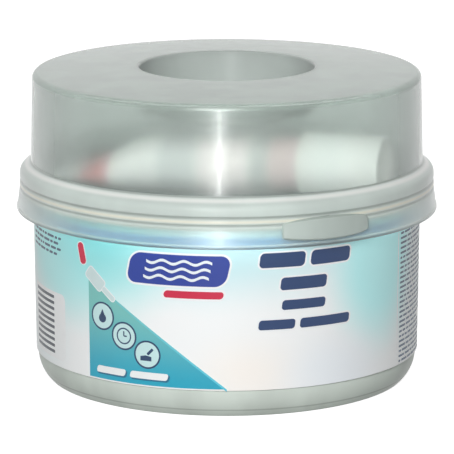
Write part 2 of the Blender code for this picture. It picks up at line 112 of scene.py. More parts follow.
def rounded(corners: Sequence[Corner]) -> Points:
    """Round a profile's corners: each gets an arc that touches both sides tan(turn / 2) * radius away.

    Args:
        corners: The corners, (x, z) or (x, z, radius).

    Returns:
        The profile's points, (count, 2).
    """
    parts = []
    for index, corner in enumerate(corners):
        here = np.array(corner[:2], dtype=float)
        radius = corner[2] if len(corner) > 2 else 0.0
        if radius == 0.0 or index in (0, len(corners) - 1):
            parts.append(here[None])
            continue
        before = np.array(corners[index - 1][:2]) - here
        after = np.array(corners[index + 1][:2]) - here
        far_before, far_after = np.linalg.norm(before), np.linalg.norm(after)
        before, after = before / far_before, after / far_after
        turn = math.pi - math.acos(float(np.clip(before @ after, -1.0, 1.0)))
        reach = min(radius * math.tan(turn / 2), FILLET_REACH * far_before, FILLET_REACH * far_after)
        radius = reach / math.tan(turn / 2)
        inward = (before + after) / np.linalg.norm(before + after)
        middle = here + inward * math.hypot(radius, reach)
        share = np.linspace(0.0, 1.0, max(2, math.ceil(turn / FILLET_STEP) + 1))[:, None]
        start, end = here + before * reach - middle, here + after * reach - middle
        # The arc's points turn evenly from start to end, by the weights of a spherical blend
        points = (np.sin((1 - share) * turn) * start + np.sin(share * turn) * end) / math.sin(turn)
        parts.append(middle + points)
    return np.concatenate(parts)


def about_z(radius: Points | float, angle: Points, height: Points | float) -> Points:
    """Give points about Z at angles from the front: (r sin a, -r cos a, z)."""
    sides = np.broadcast_arrays(radius * np.sin(angle), -radius * np.cos(angle), height)
    return np.stack(sides, axis=-1)


def full_turn(steps: int = TURN_STEPS) -> Points:
    """Give the angles of a full turn that starts and ends at the back."""
    return np.linspace(-math.pi, math.pi, steps + 1)


def turned(profile: Points, steps: int = TURN_STEPS) -> Points:
    """Turn a profile of (radius, height) about Z into a grid, (count, steps + 1, 3)."""
    return about_z(profile[:, 0:1], full_turn(steps), profile[:, 1:2])


def closed_ends(grid: Points) -> Points:
    """Close a pipe's two open ends, each by one more ring that lies on the middle of the end's ring."""
    middles = grid[[0, -1], :-1].mean(axis=1)
    first, last = (np.tile(middle, (1, grid.shape[1], 1)) for middle in middles)
    return np.concatenate([first, grid, last])


def quads_of(rows: int, columns: int, start: int) -> Points:
    """Give the corners of a grid's quads, (quads, 4), where start is the number of its first point."""
    index = start + np.arange(rows * columns).reshape(rows, columns)
    sides = [index[:-1, :-1], index[:-1, 1:], index[1:, 1:], index[1:, :-1]]
    return np.stack(sides, axis=2).reshape(-1, 4)


def skin(name: str, grids: Sequence[Points], places: Sequence[Points] = ()) -> Object:
    """Make one object of several grids of points, skinned with quads, with seams and poles merged.

    Args:
        name: The object's name.
        grids: The grids, (rows, columns, 3) each.
        places: For each grid its points' places on the print, (rows, columns, 2), the UV map.

    Returns:
        The object, at the origin, with its faces turned outwards.
    """
    points = np.concatenate([grid.reshape(-1, 3) for grid in grids])
    starts = np.cumsum([0] + [grid.shape[0] * grid.shape[1] for grid in grids])
    quads = np.concatenate([quads_of(*grid.shape[:2], start) for grid, start in zip(grids, starts)])
    mesh = bpy.data.meshes.new(name)
    mesh.vertices.add(len(points))
    mesh.vertices.foreach_set("co", points.astype(np.float32).ravel())
    mesh.loops.add(quads.size)
    mesh.loops.foreach_set("vertex_index", quads.ravel().astype(np.int32))
    mesh.polygons.add(len(quads))
    mesh.polygons.foreach_set("loop_start", np.arange(0, quads.size, 4, dtype=np.int32))
    if len(places):
        flat = np.concatenate([place.reshape(-1, 2) for place in places])
        layer = mesh.uv_layers.new(name=PLACE_MAP)
        layer.data.foreach_set("uv", flat[quads.ravel()].astype(np.float32).ravel())
    mesh.update(calc_edges=True)
    shape = bmesh.new()
    shape.from_mesh(mesh)
    bmesh.ops.remove_doubles(shape, verts=shape.verts, dist=MERGE_DISTANCE)
    bmesh.ops.recalc_face_normals(shape, faces=shape.faces)
    shape.to_mesh(mesh)
    shape.free()
    mesh.shade_smooth()
    mesh.set_sharp_from_angle(angle=SHARP_ANGLE)
    item = bpy.data.objects.new(name, mesh)
    bpy.context.scene.collection.objects.link(item)
    return item


def settle(item: Object, finish: "Finish", body: Body, slot: str, *nodes: str) -> Object:
    """Dress a piece, put it on its body, and let it stand for CAD nodes.

    Args:
        item: The piece.
        finish: Its finish.
        body: The body that it rides on.
        slot: The material slot's name, which is not used.
        nodes: The CAD nodes that it stands for.

    Returns:
        The piece.
    """
    item.data.materials.append(finish.build())
    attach(item, body.value)
    if nodes:
        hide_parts(*nodes)
    LOG.info("piece %s: %d faces, rides on %s", item.name, len(item.data.polygons), body.value)
    return item


# Finishes

def linear(colour: Colour, share: float = 1.0) -> tuple[float, ...]:
    """Turn a share of a colour's levels, 0 to 255, into a shader's linear colour by the sRGB curve."""
    levels = np.minimum(np.array(colour, dtype=float) * share, 255.0) / 255
    steps = np.where(levels <= 0.04045, levels / 12.92, ((levels + 0.055) / 1.055) ** 2.4)
    return (*(float(step) for step in steps), 1.0)


class Nodes:
    """The nodes of one material or world, with short ways to add the kinds that are used."""

    def __init__(self, tree: bpy.types.NodeTree) -> None:
        """Take a node tree, and its Principled shader where it has one."""
        self.tree = tree
        self.shader = tree.nodes.get("Principled BSDF")

    def feed(self, socket: Socket, value: object) -> None:
        """Link a socket to another one, or set its value."""
        if isinstance(value, bpy.types.NodeSocket):
            self.tree.links.new(value, socket)
        else:
            socket.default_value = value

    def add(self, kind: str, *values: object, **settings: object) -> bpy.types.Node:
        """Add a node of a kind, set its own settings, and feed its first sockets in their order."""
        node = self.tree.nodes.new("ShaderNode" + kind)
        for key, setting in settings.items():
            setattr(node, key, setting)
        for socket, value in zip(node.inputs, values):
            self.feed(socket, value)
        return node

    def set(self, **values: object) -> None:
        """Set the shader's own sockets, by their names with underscores for spaces."""
        for key, value in values.items():
            self.feed(self.shader.inputs[key.replace("_", " ")], value)

    def math(self, operation: str, *values: object) -> Socket:
        """Add a Math node of an operation on one to three values."""
        return self.add("Math", *values, operation=operation).outputs[0]

    def vector(self, operation: str, *values: object) -> bpy.types.Node:
        """Add a Vector Math node of an operation on one or two values."""
        return self.add("VectorMath", *values, operation=operation)

    def place(self, stretch: Corner = (1.0, 1.0, 1.0)) -> Socket:
        """Give the object's own coordinates, stretched along each axis."""
        return self.vector("MULTIPLY", self.add("TexCoord").outputs["Object"], stretch).outputs[0]

    def height(self) -> Socket:
        """Give the height above the floor, from the object's own coordinates."""
        return self.add("SeparateXYZ", self.place()).outputs[2]

    def spot(self) -> Socket:
        """Give the place on the print, from the piece's own UV map."""
        return self.add("UVMap", uv_map=PLACE_MAP).outputs[0]

    def noise(self, where: object, scale: float, detail: float = 2.0) -> Socket:
        """Add a noise of so many cells per metre."""
        node = self.add("TexNoise", where)
        node.inputs["Scale"].default_value = scale
        node.inputs["Detail"].default_value = detail
        return node.outputs[0]

    def steps(self, value: object, low: float, high: float, start: float = 0.0, end: float = 1.0) -> Socket:
        """Add a smooth step: start where the value is low and end where it is high."""
        node = self.add("MapRange", value, low, high, start, end, interpolation_type="SMOOTHSTEP")
        return node.outputs[0]

    def mix(self, factor: object, first: object, second: object) -> Socket:
        """Mix two colours by a factor."""
        node = self.add("Mix", factor, data_type="RGBA")
        self.feed(node.inputs[MIX_FIRST], first)
        self.feed(node.inputs[MIX_SECOND], second)
        return node.outputs[MIX_RESULT]

    def gloss(self, pattern: Socket, roughness: float, swing: float) -> None:
        """Set a roughness that swings about its middle along a pattern."""
        self.set(Roughness=self.steps(pattern, *GLOSS_TURN, roughness - swing, roughness + swing))

    def bump(self, height: object, depth: float) -> None:
        """Drive the shader's normal by a height of 0 to 1 that stands for a depth in metres."""
        node = self.add("Bump")
        for key, value in (("Strength", 1.0), ("Distance", depth), ("Height", height)):
            self.feed(node.inputs[key], value)
        self.set(Normal=node.outputs[0])

    def blend(self, first: Socket, share: float, second: Socket) -> Socket:
        """Add a share of one value to the rest of another."""
        return self.math("MULTIPLY_ADD", first, share, self.math("MULTIPLY", second, 1 - share))

    def whites(self) -> Socket:
        """Give 1 where a camera, glossy or transmission ray looks, and 0 for the light on the object."""
        path = self.add("LightPath").outputs
        first = self.math("MAXIMUM", path["Is Camera Ray"], path["Is Glossy Ray"])
        return self.math("MAXIMUM", first, path["Is Transmission Ray"])


@dataclass(frozen=True)
class Finish:
    """A finish with a name, a main colour and a roughness, to which each kind adds its own marks."""

    name: str
    colour: Colour
    roughness: float = 0.4

    def dress(self, nodes: Nodes) -> None:
        """Set a new material's shader, which each kind of finish does in its own way."""
        raise NotImplementedError

    def build(self) -> bpy.types.Material:
        """Make the material."""
        material = bpy.data.materials.new(self.name)
        material.use_nodes = True
        self.dress(Nodes(material.node_tree))
        return material


class Line(NamedTuple):
    """A level ring of painted shade or painted highlight round a piece, that takes on a colour by a share and
    fades out above and below.
    """

    height: float
    half_width: float
    share: float
    colour: Colour


@dataclass(frozen=True)
class MouldedPlastic(Finish):
    """Moulded plastic: faint flow marks, a fine grain, and a gloss that varies a little.

    The colour swings by a share of itself along the flow marks. Clear is the share of light that goes
    through a face, blurred by its roughness. A milky wall is less clear where it is looked through at
    a slant, because more of it lies in the way. Shade is the share of lamp light that it keeps out:
    what it scatters goes on. Lines are rings of painted shade in creases, grooves and under edges,
    and of painted highlights along edges and ribs.
    """

    swing: float = 0.05
    specular: float = 0.5
    coat: float = 0.0
    coat_roughness: float = 0.15
    clear: float = 0.0
    slant_clear: float = 0.0
    shade: float = 1.0
    cover: float = 1.0
    bending: float = 1.49
    gloss_swing: float = 0.03
    flow_scale: float = 60.0
    flow_detail: float = 3.0
    flow_stretch: Corner = (1.0, 1.0, 0.35)
    flow_share: float = 0.7
    grain_scale: float = 900.0
    grain_depth: float = 0.00001
    lines: tuple[Line, ...] = ()

    def dress(self, nodes: Nodes) -> None:
        """Lay colour, lines, gloss, clearness and grain on the shader."""
        flow = nodes.noise(nodes.place(self.flow_stretch), self.flow_scale, self.flow_detail)
        grain = nodes.noise(nodes.place(), self.grain_scale)
        dark, pale = (linear(self.colour, 1 + swing) for swing in (-self.swing, self.swing))
        colour = nodes.mix(nodes.steps(flow, *FLOW_TURN), dark, pale)
        # Each line paints a ring of shade or highlight by height
        for line in self.lines:
            away = nodes.math("ABSOLUTE", nodes.math("SUBTRACT", nodes.height(), line.height))
            share = nodes.steps(away, 0.0, line.half_width, line.share, 0.0)
            colour = nodes.mix(share, colour, linear(line.colour))
        nodes.set(Base_Color=colour, Alpha=self.cover, Specular_IOR_Level=self.specular, IOR=self.bending)
        nodes.gloss(flow, self.roughness, self.gloss_swing)
        if self.clear:
            slant = nodes.add("LayerWeight").outputs["Facing"]
            nodes.set(Transmission_Weight=nodes.steps(slant, *SLANT_TURN, self.clear, self.slant_clear))
            shadow = nodes.add("LightPath").outputs["Is Shadow Ray"]
            nodes.set(Alpha=nodes.steps(shadow, 0.0, 1.0, self.cover, self.cover * self.shade))
        if self.coat:
            nodes.set(Coat_Weight=self.coat, Coat_Roughness=self.coat_roughness)
        nodes.bump(nodes.blend(flow, self.flow_share, grain), self.grain_depth)


@dataclass(frozen=True)
class PrintInk(Finish):
    """Ink on the wrap, a little uneven, as glossy as the film that covers it.

    With a foot colour the ink fades from that, at the lower height, to its colour, at the upper one.
    """

    foot_colour: Colour | None = None
    foot: float = 0.0080
    head: float = 0.0330
    patch_scale: float = 350.0
    uneven: float = 0.08

    def dress(self, nodes: Nodes) -> None:
        """Lay the ink's colour on the shader."""
        patch = nodes.noise(nodes.place(), self.patch_scale)
        colour: object = linear(self.colour)
        if self.foot_colour:
            share = nodes.steps(nodes.height(), self.foot, self.head)
            colour = nodes.mix(share, linear(self.foot_colour), colour)
        uneven = nodes.math("MULTIPLY", patch, self.uneven)
        nodes.set(Base_Color=nodes.mix(uneven, colour, linear(INK_DULL)), Roughness=self.roughness)


class Cloud(NamedTuple):
    """One soft patch of colour on the wrap: an ellipse that fades out from its core."""

    colour: Colour
    middle: tuple[float, float]
    reach: tuple[float, float]
    core: float
    weight: float = 1.0


@dataclass(frozen=True)
class WrapFilm(Finish):
    """The printed film's ground, with soft clouds of colour at places round the wall."""

    clouds: tuple[Cloud, ...] = ()
    waver_scale: float = 45.0
    waver: float = 0.12
    fine_scale: float = 700.0
    fine_depth: float = 0.000004

    def dress(self, nodes: Nodes) -> None:
        """Lay the clouds over the ground in their order."""
        spot = nodes.spot()
        waver = nodes.noise(nodes.place(), self.waver_scale)
        colour: object = linear(self.colour)
        for cloud in self.clouds:
            offset = nodes.vector("SUBTRACT", spot, (*cloud.middle, 0.0)).outputs[0]
            share = nodes.vector("DIVIDE", offset, (*cloud.reach, 1.0)).outputs[0]
            distance = nodes.vector("LENGTH", share).outputs["Value"]
            uneven = nodes.math("MULTIPLY_ADD", waver, self.waver, distance)
            cover = nodes.steps(uneven, cloud.core, 1.0, cloud.weight, 0.0)
            colour = nodes.mix(cover, colour, linear(cloud.colour))
        nodes.set(Base_Color=colour, Roughness=self.roughness)
        nodes.bump(nodes.noise(nodes.place(), self.fine_scale), self.fine_depth)


class Band(NamedTuple):
    """A band of colour between two places along the tube from its shoulder, with an edge so wide."""

    start: float
    end: float
    colour: Colour
    edge: float


@dataclass(frozen=True)
class PrintedSleeve(Finish):
    """The hardener tube's skin: bands of plain colour along it, with soft or sharp edges."""

    roughness: float = 0.38
    bands: tuple[Band, ...] = ()
    gloss_swing: float = 0.05
    dent_scale: float = 120.0
    dent_detail: float = 3.0
    dent_depth: float = 0.00008

    def dress(self, nodes: Nodes) -> None:
        """Lay the bands, an uneven gloss and soft dents on the shader."""
        along = nodes.add("SeparateXYZ", nodes.spot()).outputs[0]
        colour: object = linear(self.colour)
        for start, end, tint, edge in self.bands:
            rise = nodes.steps(along, start - edge / 2, start + edge / 2)
            fall = nodes.steps(along, end - edge / 2, end + edge / 2, 1.0, 0.0)
            colour = nodes.mix(nodes.math("MULTIPLY", rise, fall), colour, linear(tint))
        dent = nodes.noise(nodes.place(), self.dent_scale, self.dent_detail)
        nodes.set(Base_Color=colour)
        nodes.gloss(dent, self.roughness, self.gloss_swing)
        nodes.bump(dent, self.dent_depth)


@dataclass(frozen=True)
class Paste(Finish):
    """Thick paste: soft sheen, drag marks and small pits."""

    roughness: float = 0.45
    dark_share: float = 0.9
    drag_scale: float = 160.0
    drag_detail: float = 4.0
    drag_stretch: Corner = (1.0, 1.0, 0.3)
    drag_share: float = 0.8
    pit_scale: float = 900.0
    depth: float = 0.0003

    def dress(self, nodes: Nodes) -> None:
        """Lay the drag marks and pits on the shader."""
        drag = nodes.noise(nodes.place(self.drag_stretch), self.drag_scale, self.drag_detail)
        colour = nodes.mix(drag, linear(self.colour, self.dark_share), linear(self.colour))
        nodes.set(Base_Color=colour, Roughness=self.roughness)
        pit = nodes.noise(nodes.place(), self.pit_scale)
        nodes.bump(nodes.blend(drag, self.drag_share, pit), self.depth)


@dataclass(frozen=True)
class Foil(Finish):
    """Thin bright metal foil, slightly crumpled."""

    roughness: float = 0.3
    dark_share: float = 0.92
    crumple_scale: float = 1200.0
    crumple_detail: float = 3.0
    depth: float = 0.00005

    def dress(self, nodes: Nodes) -> None:
        """Lay bright metal and its crumples on the shader."""
        crumple = nodes.noise(nodes.place(), self.crumple_scale, self.crumple_detail)
        colour = nodes.mix(crumple, linear(self.colour, self.dark_share), linear(self.colour))
        nodes.set(Base_Color=colour, Metallic=1.0, Roughness=self.roughness)
        nodes.bump(crumple, self.depth)


@dataclass(frozen=True)
class StudioWhite(Finish):
    """A pale matt floor that looks white to the camera, and so in gloss and through clear plastic."""

    speckle: Colour = (172, 172, 172)
    speckle_scale: float = 30.0
    glow: float = 0.95

    def dress(self, nodes: Nodes) -> None:
        """Lay the faint speckle on the shader, and the glow for the rays that look."""
        speckle = nodes.noise(nodes.place(), self.speckle_scale)
        nodes.set(Base_Color=nodes.mix(speckle, linear(self.colour), linear(self.speckle)))
        nodes.set(Roughness=self.roughness, Specular_IOR_Level=0.0, Emission_Color=linear(WHITE))
        nodes.set(Emission_Strength=nodes.math("MULTIPLY", nodes.whites(), self.glow))


# Pieces

@dataclass
class Tub:
    """The moulded tub: drafted wall, soft base corner, foot ring, recessed base and flat rim."""

    radius: float = 0.0559
    height: float = 0.0577
    wall: float = 0.0012
    floor: float = 0.0013
    draft: float = 0.0005
    corner: float = 0.0100
    corner_sweep: float = math.radians(47)
    corner_points: int = 16
    rim_width: float = 0.0029
    rim_depth: float = 0.0015
    foot_width: float = 0.0019
    foot_recess: float = 0.0011
    # Painted shade: a dark ring across the base corner, just above the foot ring
    foot_shadow: Line = Line(0.0021, 0.0004, 0.32, PAINTED_SHADE)
    finish: MouldedPlastic = MouldedPlastic(
        "tub_moulding", (210, 219, 211), 0.34, swing=0.03, specular=0.08, lines=(foot_shadow,)
    )

    @property
    def corner_centre(self) -> Corner:
        """Give the centre of the base corner's arc, at the height where the corner meets the wall."""
        top = self.corner * math.sin(self.corner_sweep)
        return (self.radius - self.draft - self.corner, top)

    @property
    def rim_under(self) -> float:
        """Give the height of the rim's lower face."""
        return self.height - self.rim_depth

    @property
    def rim_radius(self) -> float:
        """Give the rim's outer radius."""
        return self.radius + self.rim_width

    @property
    def mouth_radius(self) -> float:
        """Give the radius of the tub's mouth."""
        return self.radius - self.wall

    @property
    def floor_top(self) -> float:
        """Give the height of the floor's upper face."""
        return self.foot_recess + self.floor

    def outside(self, height: Points | float) -> Points | float:
        """Give the outer radius at a height: the wall narrows evenly from the rim to the base corner."""
        share = (self.rim_under - height) / (self.rim_under - self.corner_centre[1])
        return self.radius - self.draft * share

    def inner_corner(self, inset: float, count: int = 14) -> Points:
        """Give the inner profile from the floor to the wall: an arc about the base corner's own centre.

        Args:
            inset: How far the profile is moved in.
            count: How many points.

        Returns:
            The points, (count, 2).
        """
        radius = self.corner - self.wall - inset
        start = -math.asin((self.corner_centre[1] - self.floor_top - inset) / radius)
        return arc(self.corner_centre, radius, start, 0.0, count)

    def profile(self) -> Points:
        """Give the tub's profile, from the floor's middle up the inside and down the outside."""
        base = arc(self.corner_centre, self.corner, 0.0, -self.corner_sweep, self.corner_points)
        foot_outer = base[-1, 0]
        foot_inner = foot_outer - self.foot_width
        return rounded([
            (0.0, self.floor_top),
            *map(tuple, self.inner_corner(0.0)),
            (self.mouth_radius, self.height, EASED),
            (self.rim_radius, self.height, MILD),
            (self.rim_radius, self.rim_under, FINE),
            (self.radius, self.rim_under, EASED),
            *map(tuple, base[:-1]),
            (foot_outer, 0.0, FINE),
            (foot_inner, 0.0, FINE),
            (foot_inner - self.foot_recess, self.foot_recess, FINE),
            (0.0, self.foot_recess),
        ])

    def build(self) -> None:
        """Make the tub."""
        settle(skin("tub_moulding", [turned(self.profile())]), self.finish, Body.TUB, "tub_plastic", "tub")


@dataclass
class Filler:
    """The filler: it stands in the tub, with a spiral on top from the machine that poured it."""

    tub: Tub
    level: float = 0.0485
    pitch: float = 0.0170
    swirl: float = 0.0009
    swirl_fade: float = 0.5
    drag: float = 0.16
    drags_in_pitch: int = 6
    rings: int = 90
    finish: Paste = Paste("filler_compound", (196, 199, 188))

    def surface(self) -> Points:
        """Give the grid: up the wall, then over the top, at level + swirl * cos(2 pi r / pitch - a)."""
        wall = self.tub.outside(self.level) - self.tub.wall - GAP
        outline = self.tub.inner_corner(GAP)
        side = turned(np.concatenate([[(0.0, outline[0, 1])], outline]))
        share = np.linspace(1.0, 0.0, self.rings)[:, None]
        radius = wall * share
        angles = full_turn()
        fade = np.sin(math.pi * share) ** self.swirl_fade
        ridge = np.cos(2 * math.pi * radius / self.pitch - angles)
        drag = self.drag * np.cos(2 * math.pi * radius / (self.pitch / self.drags_in_pitch) - angles)
        top = about_z(radius, angles, self.level + self.swirl * (ridge + drag) * fade)
        return np.concatenate([side, top])

    def build(self) -> None:
        """Make the filler."""
        item = skin("filler_fill", [self.surface()])
        settle(item, self.finish, Body.TUB, "filler_paste", "filler_compound")


@dataclass
class SealingDisc:
    """The disc between filler and hardener: a flange on the rim and a shallow dish inside the mouth."""

    tub: Tub
    thickness: float = 0.0009
    dish: float = 0.0029
    inset: float = 0.0005
    ring_places: tuple[float, ...] = (0.36, 0.72)
    ring_half: float = 0.0012
    ring_depth: float = 0.0004
    # The disc's colour is darkened: painted shade under the lid, below the tube
    finish: MouldedPlastic = MouldedPlastic("disc_moulding", (112, 122, 121), 0.5, swing=0.04)

    @property
    def top(self) -> float:
        """Give the height of the flange's upper face."""
        return self.tub.height + GAP + self.thickness

    @property
    def dish_top(self) -> float:
        """Give the height of the dish's floor."""
        return self.top - self.dish

    def profile(self) -> Points:
        """Give the profile: the dish with two fine rings pressed into it, the flange, and the underside."""
        plug = self.tub.mouth_radius - GAP
        flange = self.tub.rim_radius - self.inset
        seat = self.tub.height + GAP
        corners: list[Corner] = [(0.0, self.dish_top)]
        for place in self.ring_places:
            middle = place * plug
            corners += [
                (middle - self.ring_half, self.dish_top, FULL),
                (middle, self.dish_top - self.ring_depth, FULL),
                (middle + self.ring_half, self.dish_top, FULL),
            ]
        corners += [
            (plug - self.thickness, self.dish_top, SOFT),
            (plug - self.thickness, self.top, EASED),
            (flange, self.top, FINE),
            (flange, seat, FINE),
            (plug, seat, KEEN),
            (plug, self.dish_top - self.thickness, GENTLE),
            (0.0, self.dish_top - self.thickness),
        ]
        return rounded(corners)

    def build(self) -> None:
        """Make the disc."""
        item = skin("disc_moulding", [turned(self.profile())])
        settle(item, self.finish, Body.DISC, "disc_plastic", "sealing_disc")


class Zone(IntEnum):
    """The zones of the lid, which differ in how milky they look; the well's colour is also darkened, painted
    shade, and the shoulder's lightened, partly painted light. Each is the number of its material.
    """

    DOME = 0
    SHOULDER = 1
    FLARE = 2
    WELL = 3
    CROWN = 4


NATURAL = MouldedPlastic(
    "lid_natural", (207, 215, 211), 0.22, swing=0.02, grain_depth=0.000012,
    shade=0.15, clear=0.92, slant_clear=0.54, specular=0.12, coat=0.22, coat_roughness=0.09,
)
NATURAL_CROWN = replace(
    NATURAL, name="lid_natural_crown", colour=(196, 207, 201), clear=0.80, slant_clear=0.28, coat=0.15,
)
# The well is milkier, and its colour darker than the dome's: painted shade in the recess
NATURAL_WELL_SHADED = replace(
    NATURAL, name="lid_natural_well_shaded", colour=(184, 190, 187), roughness=0.31,
    shade=0.5, clear=0.35, slant_clear=0.10, specular=0.3, coat=0.2, coat_roughness=0.16,
)
NATURAL_FLARE = replace(
    NATURAL_WELL_SHADED, name="lid_natural_thin", colour=(208, 218, 215),
    shade=0.2, clear=0.82, slant_clear=0.50, specular=0.4, coat=0.3,
    # Painted shadow at the skirt's lower edge, and a painted highlight along the edge just above it
    lines=(Line(0.0501, 0.0005, 0.60, PAINTED_SHADE), Line(0.0508, 0.0004, 0.50, PAINTED_HIGHLIGHT)),
)
# The shoulder is milkier, and its colour lighter: partly its milkiness, partly painted light on its top
NATURAL_SHOULDER = replace(
    NATURAL_WELL_SHADED, name="lid_natural_thick", colour=(216, 226, 221),
    clear=0.25, slant_clear=0.05, specular=0.4,
    lines=(
        # Painted shade in the crease and both grooves; painted highlights under the crease and on the rib
        # between the grooves
        Line(0.0639, 0.0005, 0.45, PAINTED_SHADE),
        Line(0.0630, 0.0008, 0.80, PAINTED_HIGHLIGHT),
        Line(0.0585, 0.0007, 0.45, PAINTED_SHADE),
        Line(0.0574, 0.0007, 0.60, PAINTED_CREAM_HIGHLIGHT),
        Line(0.0563, 0.0006, 0.38, PAINTED_SHADE),
    ),
)


@dataclass
class DomedLid:
    """The lid: a dome with a round well in its top, a shoulder, grooves, a snap skirt and a pull tab.

    Where the skirt's and the snap bead's corners lie is given as shares of the flare, edge and bead.
    """

    tub: Tub
    disc: SealingDisc
    wall: float = 0.0010
    shoulder_width: float = 0.00325
    shoulder_rise: float = 0.0062
    shoulder_slope: float = 0.0024
    shoulder_round: float = 0.0030
    dome_height: float = 0.0258
    dome_draft: float = 0.00065
    dome_edge: float = 0.0018
    dome_inner_fillet: float = 0.0010
    crown: float = 0.0014
    well_radius: float = 0.0254
    well_draft: float = 0.0006
    well_floor: float = 0.0793
    well_foot_fillet: float = 0.0012
    well_under_fillet: float = 0.0016
    skirt_drop: float = 0.0079
    skirt_flare: float = 0.00095
    skirt_edge: float = 0.0009
    channel_fillet: float = 0.0014
    thin_height: float = 0.0036
    rim_clearance: float = 0.0005
    snap_clearance: float = 0.00015
    snap_height: float = 0.0011
    groove_depth: float = 0.00035
    groove_width: float = 0.0011
    groove_rise: float = 0.000825
    groove_pitch: float = 0.0022
    groove_fillet: float = 0.0009
    flare_drop: float = 0.00099
    seal_width: float = 0.0009
    seal_inset: float = 0.0014
    seal_root: float = 0.0004
    lower_groove_out: float = 0.1
    flare_top_out: float = 0.15
    edge_in: float = 0.25
    edge_rise: float = 1.3
    snap_root_out: float = 0.2
    snap_lead: float = 0.4
    snap_hook: float = 0.2
    snap_root_rise: float = 0.1
    tab_start: float = math.radians(14.7)
    tab_end: float = math.radians(40.6)
    tab_sections: int = 60
    tab_sink: float = 0.00045
    tab_stand: float = 0.0009
    tab_stand_power: float = 0.25
    tab_bulge: float = 0.0014
    tab_lift: float = 0.0027
    tab_fall: float = 0.0009
    tab_fall_power: float = 0.4
    tab_top_drop: float = 0.00022
    tab_rise: float = 0.00055
    tab_end_drop: float = 0.0013
    tab_end_power: float = 0.35
    tab_root_lift: float = 0.0012
    tab_lower_side: tuple[Corner, ...] = ((0.0010, 0.0), (0.0004, 0.0002), (0.0, 0.0007))
    tab_upper_side: tuple[Corner, ...] = ((0.0002, 0.0007), (0.0005, 0.0002), (0.0011, 0.0))
    tab_finish: MouldedPlastic = MouldedPlastic("lid_tab", (200, 212, 206), 0.3, cover=0.8, swing=0.03)

    @property
    def crease(self) -> float:
        """Give the height where the dome's wall meets the shoulder."""
        return self.tub.height + self.shoulder_rise

    @property
    def shoulder_foot(self) -> float:
        """Give the height where the shoulder meets the skirt."""
        return self.crease - self.shoulder_slope

    @property
    def dome_top(self) -> float:
        """Give the height of the dome's upper edge."""
        return self.crease + self.dome_height

    @property
    def well_rim(self) -> float:
        """Give the height of the well's upper edge."""
        return self.dome_top + self.crown

    @property
    def channel_radius(self) -> float:
        """Give the radius of the channel that takes the tub's rim."""
        return self.tub.rim_radius + self.rim_clearance

    @property
    def skirt_radius(self) -> float:
        """Give the skirt's outer radius above its flare."""
        return self.channel_radius + self.wall

    @property
    def skirt_foot(self) -> float:
        """Give the height of the skirt's lower edge."""
        return self.tub.height - self.skirt_drop

    @property
    def dome_radius(self) -> float:
        """Give the dome's outer radius at the crease."""
        return self.skirt_radius - self.shoulder_width

    @property
    def inside(self) -> float:
        """Give the dome's inner radius at the crease."""
        return self.dome_radius - self.wall

    def groove(self, height: float, out: float) -> list[Corner]:
        """Give the three corners of one soft groove.

        Args:
            height: The height of its middle.
            out: How far outside the skirt's radius it is, as a share of the flare.

        Returns:
            The corners, from its upper edge to its lower.
        """
        radius, half = self.skirt_radius + out * self.skirt_flare, self.groove_width / 2
        bed = (radius - self.groove_depth, height, self.groove_fillet)
        return [(radius, height + half, SOFT), bed, (radius, height - half, SOFT)]

    def outer_corners(self) -> list[Corner]:
        """Give the outside's corners, from the middle of the well's floor to the skirt's edge."""
        skirt, flare, edge, foot = self.skirt_radius, self.skirt_flare, self.skirt_edge, self.skirt_foot
        upper = self.tub.height + self.groove_rise
        lower = upper - self.groove_pitch
        return [
            (0.0, self.well_floor),
            (self.well_radius - self.well_draft, self.well_floor, self.well_foot_fillet),
            (self.well_radius, self.well_rim, GENTLE),
            (self.dome_radius - self.dome_draft, self.dome_top, self.dome_edge),
            (self.dome_radius, self.crease, FULL),
            (skirt, self.shoulder_foot, self.shoulder_round),
            *self.groove(upper, 0.0),
            *self.groove(lower, self.lower_groove_out),
            (skirt + self.flare_top_out * flare, lower - self.flare_drop, FULL),
            (skirt + flare - self.edge_in * edge, foot + self.edge_rise * edge, MILD),
            (skirt + flare, foot + edge, FINE),
            (skirt + flare, foot, FINE),
        ]

    def inner_corners(self) -> list[Corner]:
        """Give the inside's corners: snap bead, channel, seal, dome and well, up to the middle."""
        seal_outer = self.channel_radius - self.seal_inset
        seal_inner = seal_outer - self.seal_width
        seal_tip = self.disc.top + GAP
        well_under = self.well_floor - self.wall
        snap = self.tub.rim_radius + self.snap_clearance
        snap_top = self.tub.rim_under - GAP
        snap_foot = snap_top - self.snap_height
        return [
            (self.skirt_radius + self.skirt_flare - self.wall, self.skirt_foot, KEEN),
            (self.channel_radius + self.snap_root_out * self.skirt_flare, snap_foot, EASED),
            (snap, snap_foot + self.snap_lead * self.snap_height, FINE),
            (snap, snap_top - self.snap_hook * self.snap_height, KEEN),
            (self.channel_radius, snap_top + self.snap_root_rise * self.snap_height, KEEN),
            (self.channel_radius, self.shoulder_foot, self.channel_fillet),
            (seal_outer, self.shoulder_foot, KEEN),
            (seal_outer, seal_tip, FINE),
            (seal_inner, seal_tip, FINE),
            (seal_inner, self.shoulder_foot + self.seal_root, FINE),
            (self.inside, self.crease - self.wall, EASED),
            (self.inside - self.dome_draft, self.dome_top - self.wall, self.dome_inner_fillet),
            (self.well_radius + self.wall, self.well_rim - self.wall, FULL),
            (self.well_radius - self.well_draft + self.wall, well_under, self.well_under_fillet),
            (0.0, well_under),
        ]

